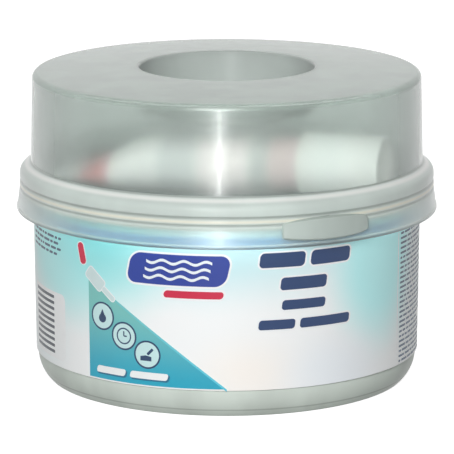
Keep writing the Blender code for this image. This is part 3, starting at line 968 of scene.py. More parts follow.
    def tab_surface(self) -> Points:
        """Give the pull tab's grid: a rounded section carried round the skirt, that swells by sin(pi t).

        The section's points are set back from its face, and up from its lower edge or down from its
        upper one, by the two tables of its sides.
        """
        share = (1 - np.cos(np.linspace(0.0, math.pi, self.tab_sections))) / 2
        angle = self.tab_start + (self.tab_end - self.tab_start) * share[:, None]
        swell = np.sin(math.pi * share)[:, None]
        root = np.full_like(swell, self.skirt_radius - self.tab_sink)
        face = self.skirt_radius + self.skirt_flare / 2 + self.tab_stand * swell ** self.tab_stand_power
        face = face + self.tab_bulge * swell
        low = self.skirt_foot + self.tab_lift - self.tab_fall * swell ** self.tab_fall_power
        high = self.tub.height - self.tab_top_drop + self.tab_rise * swell
        high = high - self.tab_end_drop * (1 - swell ** self.tab_end_power)
        low_in, low_up = np.array(self.tab_lower_side).T
        high_in, high_down = np.array(self.tab_upper_side).T
        radius = np.concatenate([root, face - low_in, face - high_in, root, root], axis=1)
        height = np.concatenate([low + self.tab_root_lift, low + low_up, high - high_down, high], axis=1)
        height = np.concatenate([height, height[:, :1]], axis=1)
        return closed_ends(about_z(radius, angle, height))

    def zones(self, mesh: bpy.types.Mesh) -> Points:
        """Tell the zone of each face of the lid's mesh, by where its middle lies."""
        middles = np.empty(len(mesh.polygons) * 3, dtype=np.float32)
        mesh.polygons.foreach_get("center", middles)
        x, y, z = middles.reshape(-1, 3).T
        tests = {
            Zone.WELL: np.hypot(x, y) < self.well_radius + self.wall / 2,
            Zone.FLARE: z < self.skirt_foot + self.thin_height,
            Zone.SHOULDER: z < self.crease + self.wall / 4,
            Zone.CROWN: z > self.dome_top - 2 * self.wall,
        }
        return np.select(list(tests.values()), list(tests), Zone.DOME).astype(np.int32)

    def build(self) -> None:
        """Make the lid, whose other zones' materials follow the dome's, and its tab."""
        profile = rounded(self.outer_corners() + self.inner_corners())
        item = settle(skin("lid_moulding", [turned(profile)]), NATURAL, Body.LID, "lid_plastic", "lid")
        for finish in (NATURAL_SHOULDER, NATURAL_FLARE, NATURAL_WELL_SHADED, NATURAL_CROWN):
            item.data.materials.append(finish.build())
        item.data.polygons.foreach_set("material_index", self.zones(item.data))
        settle(skin("lid_pull_tab", [self.tab_surface()]), self.tab_finish, Body.LID, "lid_plastic")


@dataclass
class HardenerTube:
    """The tube of hardener: a bent sleeve crimped at its end, a shoulder with a neck, a foil and the paste.

    Its own axes: origin in the cap's open end, Z out of the cap's closed end, Y up, X away from the viewer.
    """

    disc: SealingDisc
    lid: DomedLid
    radius: float = 0.0075
    foil: float = 0.00035
    heading: float = math.radians(17)
    bend: float = math.radians(9)
    offset: float = 0.0111
    crimp: float = 0.0060
    crimp_half: float = 0.0008
    crimp_lift: float = 0.0046
    crimp_clearance: float = 0.0046
    taper: float = 0.0250
    hollow_share: float = 0.1
    sink_power: float = 1.2
    loose_gap: float = 4 * GAP
    skirt_wall: float = 0.0008
    skirt: float = 0.0030
    cone: float = 0.0020
    cone_start: float = 0.0002
    neck_radius: float = 0.0042
    neck_bore: float = 0.0030
    neck: float = 0.0088
    thread_turns: int = 4
    thread_depth: float = 0.0003
    thread_margin: float = 0.0012
    thread_points: int = 64
    seal: float = 0.0002
    paste_end: float = 0.004
    inner_rings: int = 60
    outer_rings: int = 90
    crimp_rings: int = 14
    paste_rings: int = 50
    cap_radius: float = 0.0093
    cap_length: float = 0.0235
    cap_clearance: float = 0.0021
    sleeve_finish: PrintedSleeve = PrintedSleeve("tube_laminate", (252, 249, 248), bands=(
        Band(0.0006, 0.0092, (230, 206, 206), 0.0006),
        Band(0.0092, 0.0150, (196, 199, 197), 0.0010),
        Band(0.0150, 0.0304, (250, 236, 237), 0.0006),
        Band(0.0304, 0.0422, (224, 225, 225), 0.0012),
        Band(0.0569, 0.0645, (212, 128, 130), 0.0008),
        Band(0.0645, 0.0900, (206, 210, 207), 0.0010),
    ))
    shoulder_finish: MouldedPlastic = MouldedPlastic("tube_shoulder", (224, 226, 222), 0.4)
    paste_finish: Paste = Paste("tube_paste", (176, 52, 46))
    foil_finish: Foil = Foil("tube_neck_foil", (196, 198, 202))

    @property
    def axis_height(self) -> float:
        """Give the height of the cap's axis, which lies on the dish by its radius."""
        return self.disc.dish_top + GAP + self.cap_radius

    def reach(self, half_width: float) -> float:
        """Give how far along the axis a strip so wide gets before its outer edge meets the dome."""
        return math.sqrt(self.lid.inside ** 2 - (self.offset + half_width) ** 2)

    @property
    def cap_root(self) -> float:
        """Give how far along the axis, from abreast of the tub's middle, the cap's open end is."""
        return self.reach(self.cap_radius) - self.cap_clearance - self.cap_length

    @property
    def length(self) -> float:
        """Give the sleeve's length: it ends a clearance short of the dome at the crimp's corner."""
        return self.reach(self.radius * math.pi / 2) - self.crimp_clearance + self.cap_root

    @property
    def tip(self) -> float:
        """Give the place of the neck's tip along the axis."""
        return self.cone + self.neck

    @property
    def hollow_end(self) -> float:
        """Give how far from its front end the sleeve's hollow ends."""
        return self.length - self.crimp - self.hollow_share * self.taper

    def placed(self, points: Points) -> Points:
        """Move points from the tube's own axes into the frame of the whole model."""
        along = np.array([math.cos(self.heading), -math.sin(self.heading), 0.0])
        across = np.array([math.sin(self.heading), math.cos(self.heading), 0.0])
        up = np.array([0.0, 0.0, 1.0])
        origin = along * self.cap_root - across * self.offset + up * self.axis_height
        return origin + points[..., 0:1] * across + points[..., 1:2] * up + points[..., 2:3] * along

    def on_axis(self, profile: Points, steps: int = TUBE_STEPS) -> Points:
        """Turn a profile of (radius, place along the axis) about the tube's axis, in the model's frame."""
        return self.placed(turned(profile, steps))

    def sleeve_grid(self, distance: Points, inset: float) -> Points:
        """Give rings of the sleeve in the model's frame.

        The section keeps its girth while it flattens: half height b gives the half width
        sqrt(2 r^2 - b^2), stretched to pi r / 2 at the crimp. The axis bends along an arc and sinks
        towards the dish, and the belly never sinks below the dish.

        Args:
            distance: The rings' distances from the sleeve's front end, (rings,).
            inset: How far the rings are moved in.

        Returns:
            The grid, (rings, sides + 1, 3).
        """
        straight_end = self.skirt + self.loose_gap
        share = np.clip((self.length - distance - self.crimp) / self.taper, 0.0, 1.0)
        half_height = self.crimp_half + (self.radius - self.crimp_half) * np.sin(share * math.pi / 2)
        flatness = 1 - half_height / self.radius
        stretch = 1 + (math.pi / math.sqrt(8) - 1) * flatness ** 2
        half_width = np.sqrt(2 * self.radius ** 2 - half_height ** 2) * stretch
        bent = np.maximum(0.0, distance - straight_end)
        rate = self.bend / (self.length - straight_end)
        turn = (rate * bent)[:, None]
        rise = self.axis_height - self.disc.dish_top
        tail = 1 - bent / (self.length - straight_end)
        sink = self.crimp_lift + (rise - self.crimp_lift) * tail ** self.sink_power
        lift = np.maximum(sink, half_height + GAP) - rise
        start = np.minimum(distance, straight_end)[:, None]
        angles = np.linspace(0, 2 * math.pi, TUBE_STEPS + 1)
        sideways = np.maximum(half_width - inset, 0.0)[:, None] * np.cos(angles)
        upwards = np.maximum(half_height - inset, 0.0)[:, None] * np.sin(angles)
        return self.placed(np.stack([
            -(1 - np.cos(turn)) / rate + np.cos(turn) * sideways,
            lift[:, None] + upwards,
            -start - np.sin(turn) / rate - np.sin(turn) * sideways,
        ], axis=2))

    def build_sleeve(self) -> None:
        """Make the sleeve: its inner skin, then its outer skin to the end of the crimp."""
        inner = np.linspace(self.hollow_end, GAP, self.inner_rings)
        outer = np.concatenate([
            np.linspace(GAP, self.length - self.crimp, self.outer_rings),
            np.linspace(self.length - self.crimp, self.length, self.crimp_rings)[1:],
        ])
        grid = closed_ends(np.concatenate([self.sleeve_grid(inner, self.foil), self.sleeve_grid(outer, 0.0)]))
        along = np.concatenate([inner[:1], inner, outer, outer[-1:]])
        around = np.linspace(0.0, 1.0, grid.shape[1])
        place = np.stack(np.meshgrid(along, around, indexing="ij"), axis=2)
        item = skin("tube_sleeve", [grid], [place])
        settle(item, self.sleeve_finish, Body.TUBE, "sleeve_laminate", "hardener_tube_sleeve")

    def build_shoulder(self) -> None:
        """Make the shoulder: a skirt inside the sleeve, a cone, and a neck with a bore and a thread."""
        skirt = self.radius - self.foil - GAP
        root = self.neck_radius - self.thread_depth
        margin = self.thread_margin
        places = np.linspace(self.cone + margin, self.tip - margin, self.thread_points)
        wave = np.sin(np.linspace(0, 2 * math.pi * self.thread_turns, self.thread_points))
        ridges = np.stack([root + self.thread_depth * np.clip(wave, 0.0, 1.0), places], axis=1)[::-1]
        profile = rounded([
            (root, self.tip, KEEN),
            *map(tuple, ridges),
            (root, self.cone, FINE),
            (skirt, self.cone_start, KEEN),
            (skirt, -self.skirt),
            (skirt - self.skirt_wall, -self.skirt),
            (skirt - self.skirt_wall, -self.skirt_wall, FINE),
            (self.neck_bore, self.cone - self.skirt_wall, FINE),
            (self.neck_bore, self.tip),
        ])
        item = skin("tube_shoulder", [self.on_axis(np.concatenate([profile, profile[:1]]))])
        settle(item, self.shoulder_finish, Body.TUBE, "shoulder_plastic", "hardener_tube_shoulder")

    def build_seal(self) -> None:
        """Make the foil over the neck: a thin round plate with a softened edge."""
        low = self.tip + GAP
        high = low + self.seal
        edge = self.neck_radius
        profile = rounded([(0, high), (edge, high, HAIR), (edge, low, HAIR), (0, low)])
        item = skin("tube_neck_foil", [self.on_axis(profile)])
        settle(item, self.foil_finish, Body.TUBE, "seal_metal", "neck_seal_foil")

    def build_paste(self) -> None:
        """Make the paste: it fills the neck, the shoulder and the sleeve."""
        bore = self.neck_bore - GAP
        throat = self.radius - self.foil - 2 * GAP - self.skirt_wall
        radius, along = np.array([
            (0.0, self.tip - GAP),
            (bore, self.tip - GAP),
            (bore, self.cone - self.skirt_wall - 2 * GAP),
            (throat, -self.skirt_wall - 2 * GAP),
            (throat, -self.skirt - GAP),
        ]).T[:, :, None]
        angles = np.linspace(0, 2 * math.pi, TUBE_STEPS + 1)
        sides = np.broadcast_arrays(radius * np.cos(angles), radius * np.sin(angles), along)
        neck = self.placed(np.stack(sides, axis=2))
        rows = np.linspace(self.skirt + self.loose_gap, self.hollow_end - self.paste_end, self.paste_rings)
        belly = self.sleeve_grid(rows, self.foil + GAP)
        item = skin("tube_paste", [closed_ends(np.concatenate([neck, belly]))])
        settle(item, self.paste_finish, Body.TUBE, "hardener_paste", "hardener_paste")

    def build(self) -> None:
        """Make the tube's pieces."""
        self.build_sleeve()
        self.build_shoulder()
        self.build_seal()
        self.build_paste()


@dataclass
class ScrewCap:
    """The hardener tube's cap: a recessed end with a piercing spike, an outer wall and an inner sleeve."""

    tube: HardenerTube
    wall: float = 0.0010
    recess: float = 0.0021
    thread_clearance: float = 0.00045
    sleeve_wall: float = 0.0014
    spike_tip: float = 0.00025
    spike_drop: float = 0.0010
    spike_radius: float = 0.0015
    spike_well: float = 0.0029
    spike_height: float = 0.0066
    sides: int = 128
    finish: MouldedPlastic = MouldedPlastic("cap_moulding", (255, 252, 250), 0.33, swing=0.015)

    def profile(self) -> Points:
        """Give the profile: (radius, place along the axis), from the spike's tip round to the bore."""
        tube = self.tube
        outer, end = tube.cap_radius, tube.cap_length
        inner = outer - self.wall
        bore = tube.neck_radius + self.thread_clearance
        bore_top = tube.tip + tube.seal + tube.loose_gap
        recess = end - self.recess
        well = end - self.spike_drop - self.spike_height
        return rounded([
            (0.0, well + self.spike_height),
            (self.spike_tip, well + self.spike_height),
            (self.spike_radius, well, FINE),
            (self.spike_well, well, EASED),
            (self.spike_well, recess, EASED),
            (inner, recess, MILD),
            (inner, end, FINE),
            (outer, end, SOFT),
            (outer, 0.0, EASED),
            (inner, 0.0, FINE),
            (inner, recess - self.wall, FINE),
            (bore + self.sleeve_wall, recess - self.wall, FINE),
            (bore + self.sleeve_wall, tube.cone + GAP),
            (bore, tube.cone + GAP),
            (bore, bore_top, FINE),
            (0.0, bore_top),
        ])

    def build(self) -> None:
        """Make the cap."""
        item = skin("cap_moulding", [self.tube.on_axis(self.profile(), self.sides)])
        settle(item, self.finish, Body.CAP, "cap_plastic", "hardener_tube_cap")


# The printed wrap

class Bar(NamedTuple):
    """A rounded bar of the print, with its middle so far round the wall and so high up it.

    Slant shifts its top sideways by so much of its height, as slanted print does. Tilt is in degrees.
    """

    across: float
    up: float
    width: float
    height: float
    corner: float
    slant: float = 0.0
    tilt: float = 0.0

    def grown(self, edge: float, shift: float = 0.0) -> "Bar":
        """Give the bar an edge wider all round, and shifted down to the right, as an outline or shadow."""
        return self._replace(
            across=self.across + shift, up=self.up - shift,
            width=self.width + 2 * edge, height=self.height + 2 * edge, corner=self.corner + edge,
        )

    def moved(self, place: Corner) -> "Bar":
        """Give the bar moved by a place on the print."""
        return self._replace(across=self.across + place[0], up=self.up + place[1])


def bars(rows: Sequence[Bar], end_points: int = 8, side_points: int = 14) -> list[Points]:
    """Give bars on the flat print: from -y(x) to +y(x), where y = b - c + sqrt(c^2 - d^2) at the ends.

    Args:
        rows: The bars.
        end_points: How many columns each rounded end has.
        side_points: How many columns lie between the ends.

    Returns:
        One grid a bar, (2, columns, 2), in metres round the wall and up it.
    """
    across, up, width, height, corner, slant, tilt = np.array(rows).T[..., None]
    half_width, half_height = width / 2, height / 2
    corner = np.minimum(corner, np.minimum(half_width, half_height))
    end = half_width - corner + corner * np.sin(np.linspace(0.0, math.pi / 2, end_points))
    side = (half_width - corner) * np.linspace(-1.0, 1.0, side_points + 2)[1:-1]
    x = np.concatenate([-end[:, ::-1], side, end], axis=1)
    past = np.maximum(np.abs(x) - (half_width - corner), 0.0)
    y = half_height - corner + np.sqrt(np.maximum(corner ** 2 - past ** 2, 0.0))
    y = np.stack([-y, y], axis=1)
    x = x[:, None] + slant[:, None] * y
    cos, sin = np.cos(np.radians(tilt))[:, None], np.sin(np.radians(tilt))[:, None]
    return list(np.stack([across[:, None] + x * cos - y * sin, up[:, None] + x * sin + y * cos], axis=3))


def ring(middle: Corner, outer: float, inner: float = 0.0) -> Points:
    """Give a ring or a disc on the flat print, with rows so narrow that it follows the wall.

    Args:
        middle: Its middle, round the wall and up it.
        outer: Its outer radius.
        inner: Its inner radius, 0 for a disc.

    Returns:
        The grid, (rows, RING_SIDES + 1, 2).
    """
    angles = np.linspace(0.0, 2 * math.pi, RING_SIDES + 1)
    radius = np.linspace(outer, inner, 2 + int((outer - inner) / RING_ROW))[:, None]
    return np.stack([middle[0] + radius * np.cos(angles), middle[1] + radius * np.sin(angles)], axis=2)


def between(across: Points, low: Points | float, high: Points | float) -> Points:
    """Give the shape between two curves over the same places round the wall, as a grid (2, columns, 2)."""
    return np.stack([np.stack(np.broadcast_arrays(across, edge), axis=1) for edge in (low, high)])


@dataclass(frozen=True)
class SmallPrint:
    """Rows of short bars of many lengths, which stand where small print stands."""

    start: float
    end: float
    top: float
    rows: int
    pitch: float
    height: float
    seed: int
    lengths: tuple[float, float] = (0.0012, 0.0046)
    most_in_row: int = 24
    space: float = 0.0006
    slant: float = 0.25
    last_row: int = 4
    last_row_short: float = 0.2

    def bars(self) -> list[Bar]:
        """Give the bars: each row's lengths are drawn in turn, and every last row of a block is shorter."""
        draw = np.random.default_rng(self.seed)
        table = []
        for row in range(self.rows):
            lengths = draw.uniform(*self.lengths, self.most_in_row)
            ends = self.start + np.cumsum(lengths + self.space)
            short = draw.uniform(0.0, self.last_row_short) * (self.end - self.start)
            kept = ends < self.end - short * (row % self.last_row == self.last_row - 1)
            middles = (ends - self.space - lengths / 2)[kept]
            up = self.top - row * self.pitch
            corner = self.height / 2
            table += [
                Bar(middle, up, length, self.height, corner, self.slant)
                for middle, length in zip(middles, lengths[kept])
            ]
        return table


@dataclass(frozen=True)
class SignMarks:
    """The dark marks of the three round signs, each about its sign's own middle: drop, clock, spreader."""

    edge: tuple[float, float] = (0.0041, 0.0036)
    drop_radius: float = 0.0013
    drop_down: float = 0.0006
    tip_half: float = 0.0011
    tip_rise: float = 0.0022
    tip_down: float = 0.0002
    clock_face: tuple[float, float] = (0.0024, 0.0020)
    clock_hands: tuple[Bar, ...] = (
        Bar(0.0, 0.0007, 0.0004, 0.0014, HAIR),
        Bar(0.0005, 0.0, 0.0010, 0.0004, HAIR),
    )
    blade_half: float = 0.0017
    blade_left: float = 0.0004
    blade_foot: float = 0.0018
    blade_top: float = 0.0002
    blade_camber: float = 0.2
    handle: Bar = Bar(0.0009, 0.0009, 0.0024, 0.0008, FINE, tilt=45.0)
    points: int = 9

    def drop(self, place: Corner) -> list[Points]:
        """Give a drop: a disc under a tip whose sides fall straight from its middle."""
        tip = np.linspace(-self.tip_half, self.tip_half, self.points)
        low = place[1] - self.tip_down
        high = low + self.tip_rise * (1 - np.abs(tip) / self.tip_half)
        body = ring((place[0], place[1] - self.drop_down), self.drop_radius)
        return [body, between(place[0] + tip, low, high)]

    def clock(self, place: Corner) -> list[Points]:
        """Give a clock: a ring and two hands."""
        return [ring(place, *self.clock_face), *bars([hand.moved(place) for hand in self.clock_hands])]

    def spreader(self, place: Corner) -> list[Points]:
        """Give a spreader: a handle and a blade whose upper edge falls to both sides."""
        blade = np.linspace(-self.blade_half, self.blade_half, self.points)
        top = place[1] - self.blade_top - self.blade_camber * np.abs(blade)
        across = place[0] - self.blade_left + blade
        return [*bars([self.handle.moved(place)]), between(across, place[1] - self.blade_foot, top)]


@dataclass
class LabelWrap:
    """The printed film round the wall, and its print in generic shapes, each ink a thin layer of its own."""

    tub: Tub
    film: float = 0.00025
    film_rows: int = 12
    foot_margin: float = 0.0010
    rim_margin: float = 0.0013
    ink_step: float = 0.00002
    ink_depth: float = 0.000012
    sweep_points: int = 61
    sweep_span: tuple[float, float] = (-0.0430, 0.0)
    sweep_height: float = 0.0285
    sweep_margin: float = 0.0004
    sweep_power: float = 1.2
    sweep_edge: float = 0.0007
    signs: tuple[Corner, ...] = ((-0.0378, 0.0270), (-0.0304, 0.0222), (-0.0230, 0.0176))
    sign_radius: float = 0.0039
    marks: SignMarks = SignMarks()
    plate: Bar = Bar(-0.0140, 0.0426, 0.0290, 0.0088, 0.0030, 0.22)
    rule: Bar = Bar(-0.0094, 0.0357, 0.0170, 0.0021, 0.0010, 0.22)
    emblem_edge: float = 0.0006
    ripple_points: int = 49
    ripple_half_span: float = 0.0095
    ripple_length: float = 0.0063
    ripple_height: float = 0.0005
    ripple_half_width: float = 0.0004
    ripple_pitch: float = 0.0022
    bold_edge: float = 0.0005
    bold: tuple[Bar, ...] = (
        Bar(0.0158, 0.0455, 0.0132, 0.0042, 0.0012, 0.12),
        Bar(0.0306, 0.0455, 0.0128, 0.0042, 0.0012, 0.12),
        Bar(0.0222, 0.0386, 0.0140, 0.0036, 0.0010, 0.12),
        Bar(0.0222, 0.0325, 0.0132, 0.0028, 0.0009, 0.12),
        Bar(0.0142, 0.0270, 0.0106, 0.0028, 0.0009, 0.12),
        Bar(0.0290, 0.0270, 0.0160, 0.0028, 0.0009, 0.12),
    )
    foot_edge: float = 0.0001
    foot_shift: float = 0.0004
    foot_line: tuple[Bar, ...] = (
        Bar(-0.0350, 0.0115, 0.0100, 0.0020, 0.0007, 0.25),
        Bar(-0.0226, 0.0115, 0.0116, 0.0020, 0.0007, 0.25),
    )
    panel_ground: Bar = Bar(-0.0660, 0.0202, 0.0240, 0.0196, 0.0020)
    panel_edge: Bar = Bar(0.0593, 0.0285, 0.0004, 0.0380, HAIR)
    even: Bar = Bar(-0.0680, 0.0122, 0.0150, 0.0009, KEEN)
    even_count: int = 10
    even_pitch: float = 0.0018
    small: tuple[SmallPrint, ...] = (
        SmallPrint(-0.0780, -0.0545, 0.0462, 4, 0.0016, 0.0007, 11),
        SmallPrint(0.0606, 0.0860, 0.0470, 27, 0.00145, 0.0006, 12),
        SmallPrint(0.0880, 0.1150, 0.0470, 27, 0.00145, 0.0006, 13),
        SmallPrint(-0.1160, -0.0880, 0.0470, 27, 0.00145, 0.0006, 14),
    )
    dab: Bar = Bar(-0.0456, 0.0440, 0.0062, 0.0024, 0.0011, tilt=-76.0)
    dab_edge: float = 0.0003
    spreader: tuple[Bar, ...] = (
        Bar(-0.0404, 0.0374, 0.0070, 0.0036, 0.0008, tilt=-38.0),
        Bar(-0.0356, 0.0336, 0.0050, 0.0014, 0.0006, tilt=-38.0),
    )
    finish: WrapFilm = WrapFilm("wrap_film", INK_PALE, clouds=(
        Cloud((204, 240, 244), (-0.0050, 0.0540), (0.0800, 0.0285), 0.3),
        Cloud((190, 246, 246), (-0.0520, 0.0450), (0.0480, 0.0300), 0.4),
        Cloud((146, 230, 232), (-0.0400, 0.0500), (0.0330, 0.0210), 0.1),
        Cloud((198, 254, 255), (0.0490, 0.0430), (0.0250, 0.0360), 0.4),
        Cloud((238, 248, 249), (-0.0700, 0.0170), (0.0240, 0.0150), 0.4, 0.8),
        Cloud((254, 249, 243), (0.0060, 0.0130), (0.0240, 0.0170), 0.1),
        Cloud((244, 249, 253), (0.0330, 0.0120), (0.0240, 0.0160), 0.2),
        Cloud((70, 160, 216), (0.0000, 0.0508), (0.2200, 0.0024), 0.3),
        Cloud((166, 226, 226), (0.1400, 0.0400), (0.0800, 0.0400), 0.3),
        Cloud((166, 226, 226), (-0.1400, 0.0400), (0.0800, 0.0400), 0.3),
    ))

    @property
    def low(self) -> float:
        """Give the height of the film's lower edge."""
        return self.tub.corner_centre[1] + self.foot_margin

    @property
    def high(self) -> float:
        """Give the height of the film's upper edge."""
        return self.tub.rim_under - self.rim_margin

    def on_wall(self, flat: Points, lift: float) -> Points:
        """Wrap places on the print round the wall: angle = s / R, radius = wall + film + lift.

        Args:
            flat: Places, (..., 2), in metres from the front and in height.
            lift: How far outside the film's face they lie.

        Returns:
            Points, (..., 3).
        """
        across, up = flat[..., 0], flat[..., 1]
        radius = self.tub.outside(up) + GAP + self.film + lift
        return about_z(radius, across / (self.tub.radius + self.film), up)

    def slab(self, flat: Points, layer: int) -> Points:
        """Give a shape of the print its thickness: its outer face, then its inner face, as one closed loop.

        An end that isn't a seam is closed by one more column, which lies on the middle of that end.

        Args:
            flat: The shape's grid, (rows, columns, 2).
            layer: Which layer it is in, from 1 next to the film.

        Returns:
            The closed grid, (2 rows + 1, columns, 3).
        """
        if not np.allclose(flat[:, 0], flat[:, -1], atol=MERGE_DISTANCE):
            first, last = (np.tile(flat[:, end].mean(axis=0), (len(flat), 1, 1)) for end in (0, -1))
            flat = np.concatenate([first, flat, last], axis=1)
        inner = self.on_wall(flat, layer * self.ink_step)
        outer = self.on_wall(flat, layer * self.ink_step + self.ink_depth)
        return np.concatenate([outer, inner[::-1], outer[:1]])

    def lay(self, ink: PrintInk, layer: int, shapes: Sequence[Points]) -> None:
        """Lay one ink's shapes on the film, as a piece with the ink's name.

        Args:
            ink: The ink.
            layer: Which layer it is in, from 1 next to the film.
            shapes: Flat grids, (rows, columns, 2).
        """
        item = skin(ink.name, [self.slab(shape, layer) for shape in shapes])
        settle(item, ink, Body.TUB, "label_film")

    def lay_bars(self, name: str, colour: Colour, layer: int, rows: Sequence[Bar]) -> None:
        """Lay bars of one plain ink on the film."""
        self.lay(PrintInk(name, colour), layer, bars(rows))

    def build_film(self) -> None:
        """Make the film: an outer face that carries the print's places, and an inner face."""
        columns = full_turn() * (self.tub.radius + self.film)
        heights = np.linspace(self.low, self.high, self.film_rows)
        flat = np.stack(np.meshgrid(heights, columns, indexing="ij"), axis=2)[..., ::-1]
        outer, inner = self.on_wall(flat, 0.0), self.on_wall(flat[::-1], -self.film)
        place = np.concatenate([flat, flat[::-1], flat[:1]])
        item = skin("wrap_film", [np.concatenate([outer, inner, outer[:1]])], [place])
        settle(item, self.finish, Body.TUB, "label_film", "label_wrap")

    def build_sweep(self) -> None:
        """Print the teal sweep at the lower left, which falls to the film's edge as 1 - t^1.2."""
        share = np.linspace(0.0, 1.0, self.sweep_points)
        across = np.linspace(*self.sweep_span, self.sweep_points)
        low = self.low + self.sweep_margin
        top = low + self.sweep_height * (1 - share ** self.sweep_power)
        body = PrintInk("print_sweep", (128, 200, 194), foot_colour=(40, 168, 196))
        edge = PrintInk("print_sweep_edge", (120, 204, 206), foot_colour=(96, 206, 226))
        self.lay(body, 1, [between(across, low, top)])
        self.lay(edge, 2, [between(across, top - self.sweep_edge, top)])

    def build_signs(self) -> None:
        """Print three round signs along the sweep: a drop, a clock and a spreader."""
        drop, clock, spreader = self.signs
        grounds = [ring(place, self.sign_radius) for place in self.signs]
        self.lay(PrintInk("print_sign_ground", (206, 238, 238)), 3, grounds)
        marks = [ring(place, *self.marks.edge) for place in self.signs]
        marks += self.marks.drop(drop) + self.marks.clock(clock) + self.marks.spreader(spreader)
        self.lay(PrintInk("print_sign_marks", (34, 62, 96)), 4, marks)

    def build_emblem(self) -> None:
        """Print the plain emblem: a slanted plate with three pale ripples, and a short bar under it."""
        ground = [bar.grown(self.emblem_edge) for bar in (self.plate, self.rule)]
        self.lay_bars("print_emblem_ground", (248, 250, 251), 1, ground)
        self.lay_bars("print_emblem_plate", (40, 62, 150), 2, [self.plate])
        self.lay_bars("print_emblem_rule", (206, 38, 70), 2, [self.rule])
        along = np.linspace(-self.ripple_half_span, self.ripple_half_span, self.ripple_points)
        wave = self.ripple_height * np.sin(along * (2 * math.pi / self.ripple_length))
        ripples = []
        for step in (-self.ripple_pitch, 0.0, self.ripple_pitch):
            middle = self.plate.up + step + wave
            across = self.plate.across + self.plate.slant * step + along
            ripples.append(between(across, middle - self.ripple_half_width, middle + self.ripple_half_width))
        self.lay(PrintInk("print_emblem_ripples", (240, 246, 250)), 3, ripples)

    def build_lines(self) -> None:
        """Print the bold lines at the right, which are plain bars with a pale outline."""
        ground = [bar.grown(self.bold_edge) for bar in self.bold]
        self.lay_bars("print_line_ground", (250, 252, 253), 1, ground)
        self.lay_bars("print_lines", (38, 62, 104), 2, self.bold)

    def build_foot_line(self) -> None:
        """Print the pale line along the sweep's foot, with its shadow."""
        shadow = [bar.grown(self.foot_edge, self.foot_shift) for bar in self.foot_line]
        self.lay_bars("print_foot_shadow", (40, 110, 140), 3, shadow)
        self.lay_bars("print_foot_line", INK_PALE, 4, self.foot_line)

    def build_panels(self) -> None:
        """Print the side panels: even bars on a pale ground, and small print at both sides and behind."""
        self.lay_bars("print_panel_ground", INK_PALE, 1, [self.panel_ground, self.panel_edge])
        even = [self.even.moved((0.0, self.even_pitch * step)) for step in range(self.even_count)]
        self.lay_bars("print_even_bars", (52, 62, 72), 2, even)
        small = [bar for panel in self.small for bar in panel.bars()]
        self.lay_bars("print_small", (62, 88, 112), 2, small)

    def build_dab(self) -> None:
        """Print the small picture at the left: a red dab beside a pale spreader."""
        ground = [bar.grown(self.dab_edge) for bar in (self.dab, *self.spreader)]
        self.lay_bars("print_dab_ground", (246, 250, 250), 3, ground)
        self.lay_bars("print_spreader", (214, 232, 232), 4, self.spreader)
        self.lay_bars("print_dab", (206, 40, 72), 4, [self.dab])

    def build(self) -> None:
        """Make the film and its print."""
        self.build_film()
        self.build_sweep()
        self.build_signs()
        self.build_emblem()
        self.build_lines()
        self.build_foot_line()
        self.build_panels()
        self.build_dab()


# The studio

class LampUse(Enum):
    """What a lamp does, as (lights matt faces, shines through clear ones, shows in gloss)."""

    ALL = (True, True, True)
    LIGHT = (True, True, False)
    MATT = (True, False, False)
    GLOSS = (False, False, True)


class Lamp(NamedTuple):
    """A soft lamp: its place, its width and height, its power in watts, and its use."""

    name: str
    place: Corner
    size: tuple[float, float]
    power: float
    use: LampUse

    def build(self, target: Corner) -> None:
        """Hang the lamp, turned towards a target."""
        lamp = bpy.data.lights.new(self.name, "AREA")
        lamp.shape = "RECTANGLE"
        lamp.size, lamp.size_y = self.size
        lamp.energy = self.power
        item = bpy.data.objects.new(self.name, lamp)
        item.location = self.place
        item.rotation_euler = (Vector(target) - Vector(self.place)).to_track_quat("-Z", "Y").to_euler()
        item.visible_camera = False
        item.visible_diffuse, item.visible_transmission, item.visible_glossy = self.use.value
        bpy.context.scene.collection.objects.link(item)


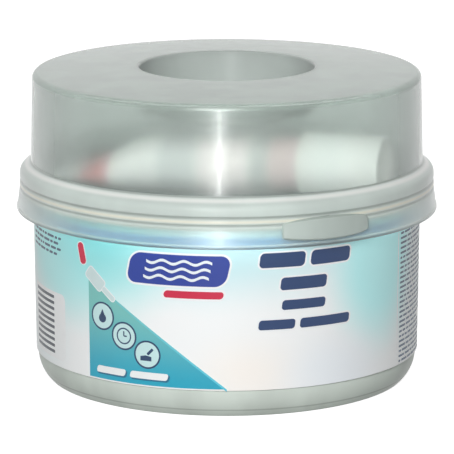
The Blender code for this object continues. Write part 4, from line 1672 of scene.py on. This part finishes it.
@dataclass
class Studio:
    """The floor, the lamps, the world and the camera that stands where the photographer's did."""

    camera_place: Corner = (0.00006, -1.0536, 0.2726)
    camera_pitch: float = math.radians(12.29)
    lens: float = 292.11
    sensor: float = 36.0
    floor_radius: float = 4.0
    floor_rings: int = 9
    floor_finish: StudioWhite = StudioWhite("floor_white", (166, 166, 166), 0.9)
    world_level: float = 0.10
    target: Corner = (0.0, 0.0, 0.05)
    lamps: tuple[Lamp, ...] = (
        Lamp("key_softbox", (-0.15, -1.32, 0.62), (0.55, 0.55), 17.3, LampUse.LIGHT),
        Lamp("back_softbox", (0.20, 1.60, 1.70), (2.20, 1.60), 4.2, LampUse.ALL),
        Lamp("back_fill", (0.10, 1.50, 0.35), (1.20, 0.60), 11.0, LampUse.MATT),
        Lamp("streak_light", (-0.0235, -0.3500, 0.0330), (0.011, 0.074), 0.062, LampUse.GLOSS),
        Lamp("flare_light", (-0.0235, -0.3500, 0.0830), (0.022, 0.030), 0.050, LampUse.GLOSS),
    )

    def build_world(self) -> None:
        """Light the scene evenly from the world, which looks white."""
        world = bpy.data.worlds.new("studio_world")
        world.use_nodes = True
        bpy.context.scene.world = world
        nodes = Nodes(world.node_tree)
        level = nodes.add("MapRange", nodes.whites(), 0.0, 1.0, self.world_level, 1.0).outputs[0]
        background = world.node_tree.nodes["Background"]
        nodes.feed(background.inputs["Color"], linear(WHITE))
        nodes.feed(background.inputs["Strength"], level)

    def build_floor(self) -> None:
        """Make the pale floor: a round plane that looks white and keeps the shadow."""
        radius = np.linspace(0.0, self.floor_radius, self.floor_rings)[:, None]
        floor = skin("studio_floor", [about_z(radius, full_turn(TUBE_STEPS), 0.0)])
        floor.data.materials.append(self.floor_finish.build())

    def build_camera(self) -> None:
        """Stand the camera at the photograph's angle, with a long lens and no shift."""
        camera = bpy.data.cameras.new("photo_camera")
        camera.sensor_fit = "HORIZONTAL"
        camera.sensor_width = self.sensor
        camera.lens = self.lens
        item = bpy.data.objects.new("photo_camera", camera)
        item.location = self.camera_place
        item.rotation_euler = (math.pi / 2 - self.camera_pitch, 0.0, 0.0)
        bpy.context.scene.collection.objects.link(item)
        bpy.context.scene.camera = item

    def build(self) -> None:
        """Make the studio."""
        self.build_camera()
        self.build_world()
        self.build_floor()
        for lamp in self.lamps:
            lamp.build(self.target)
        bpy.context.scene.view_settings.view_transform = "Standard"


def main() -> None:
    """Build the studio, then the tub from its foot up."""
    Studio().build()
    tub = Tub()
    tub.build()
    LabelWrap(tub).build()
    Filler(tub).build()
    disc = SealingDisc(tub)
    disc.build()
    lid = DomedLid(tub, disc)
    lid.build()
    tube = HardenerTube(disc, lid)
    tube.build()
    ScrewCap(tube).build()


if __name__ == "__main__":
    main()
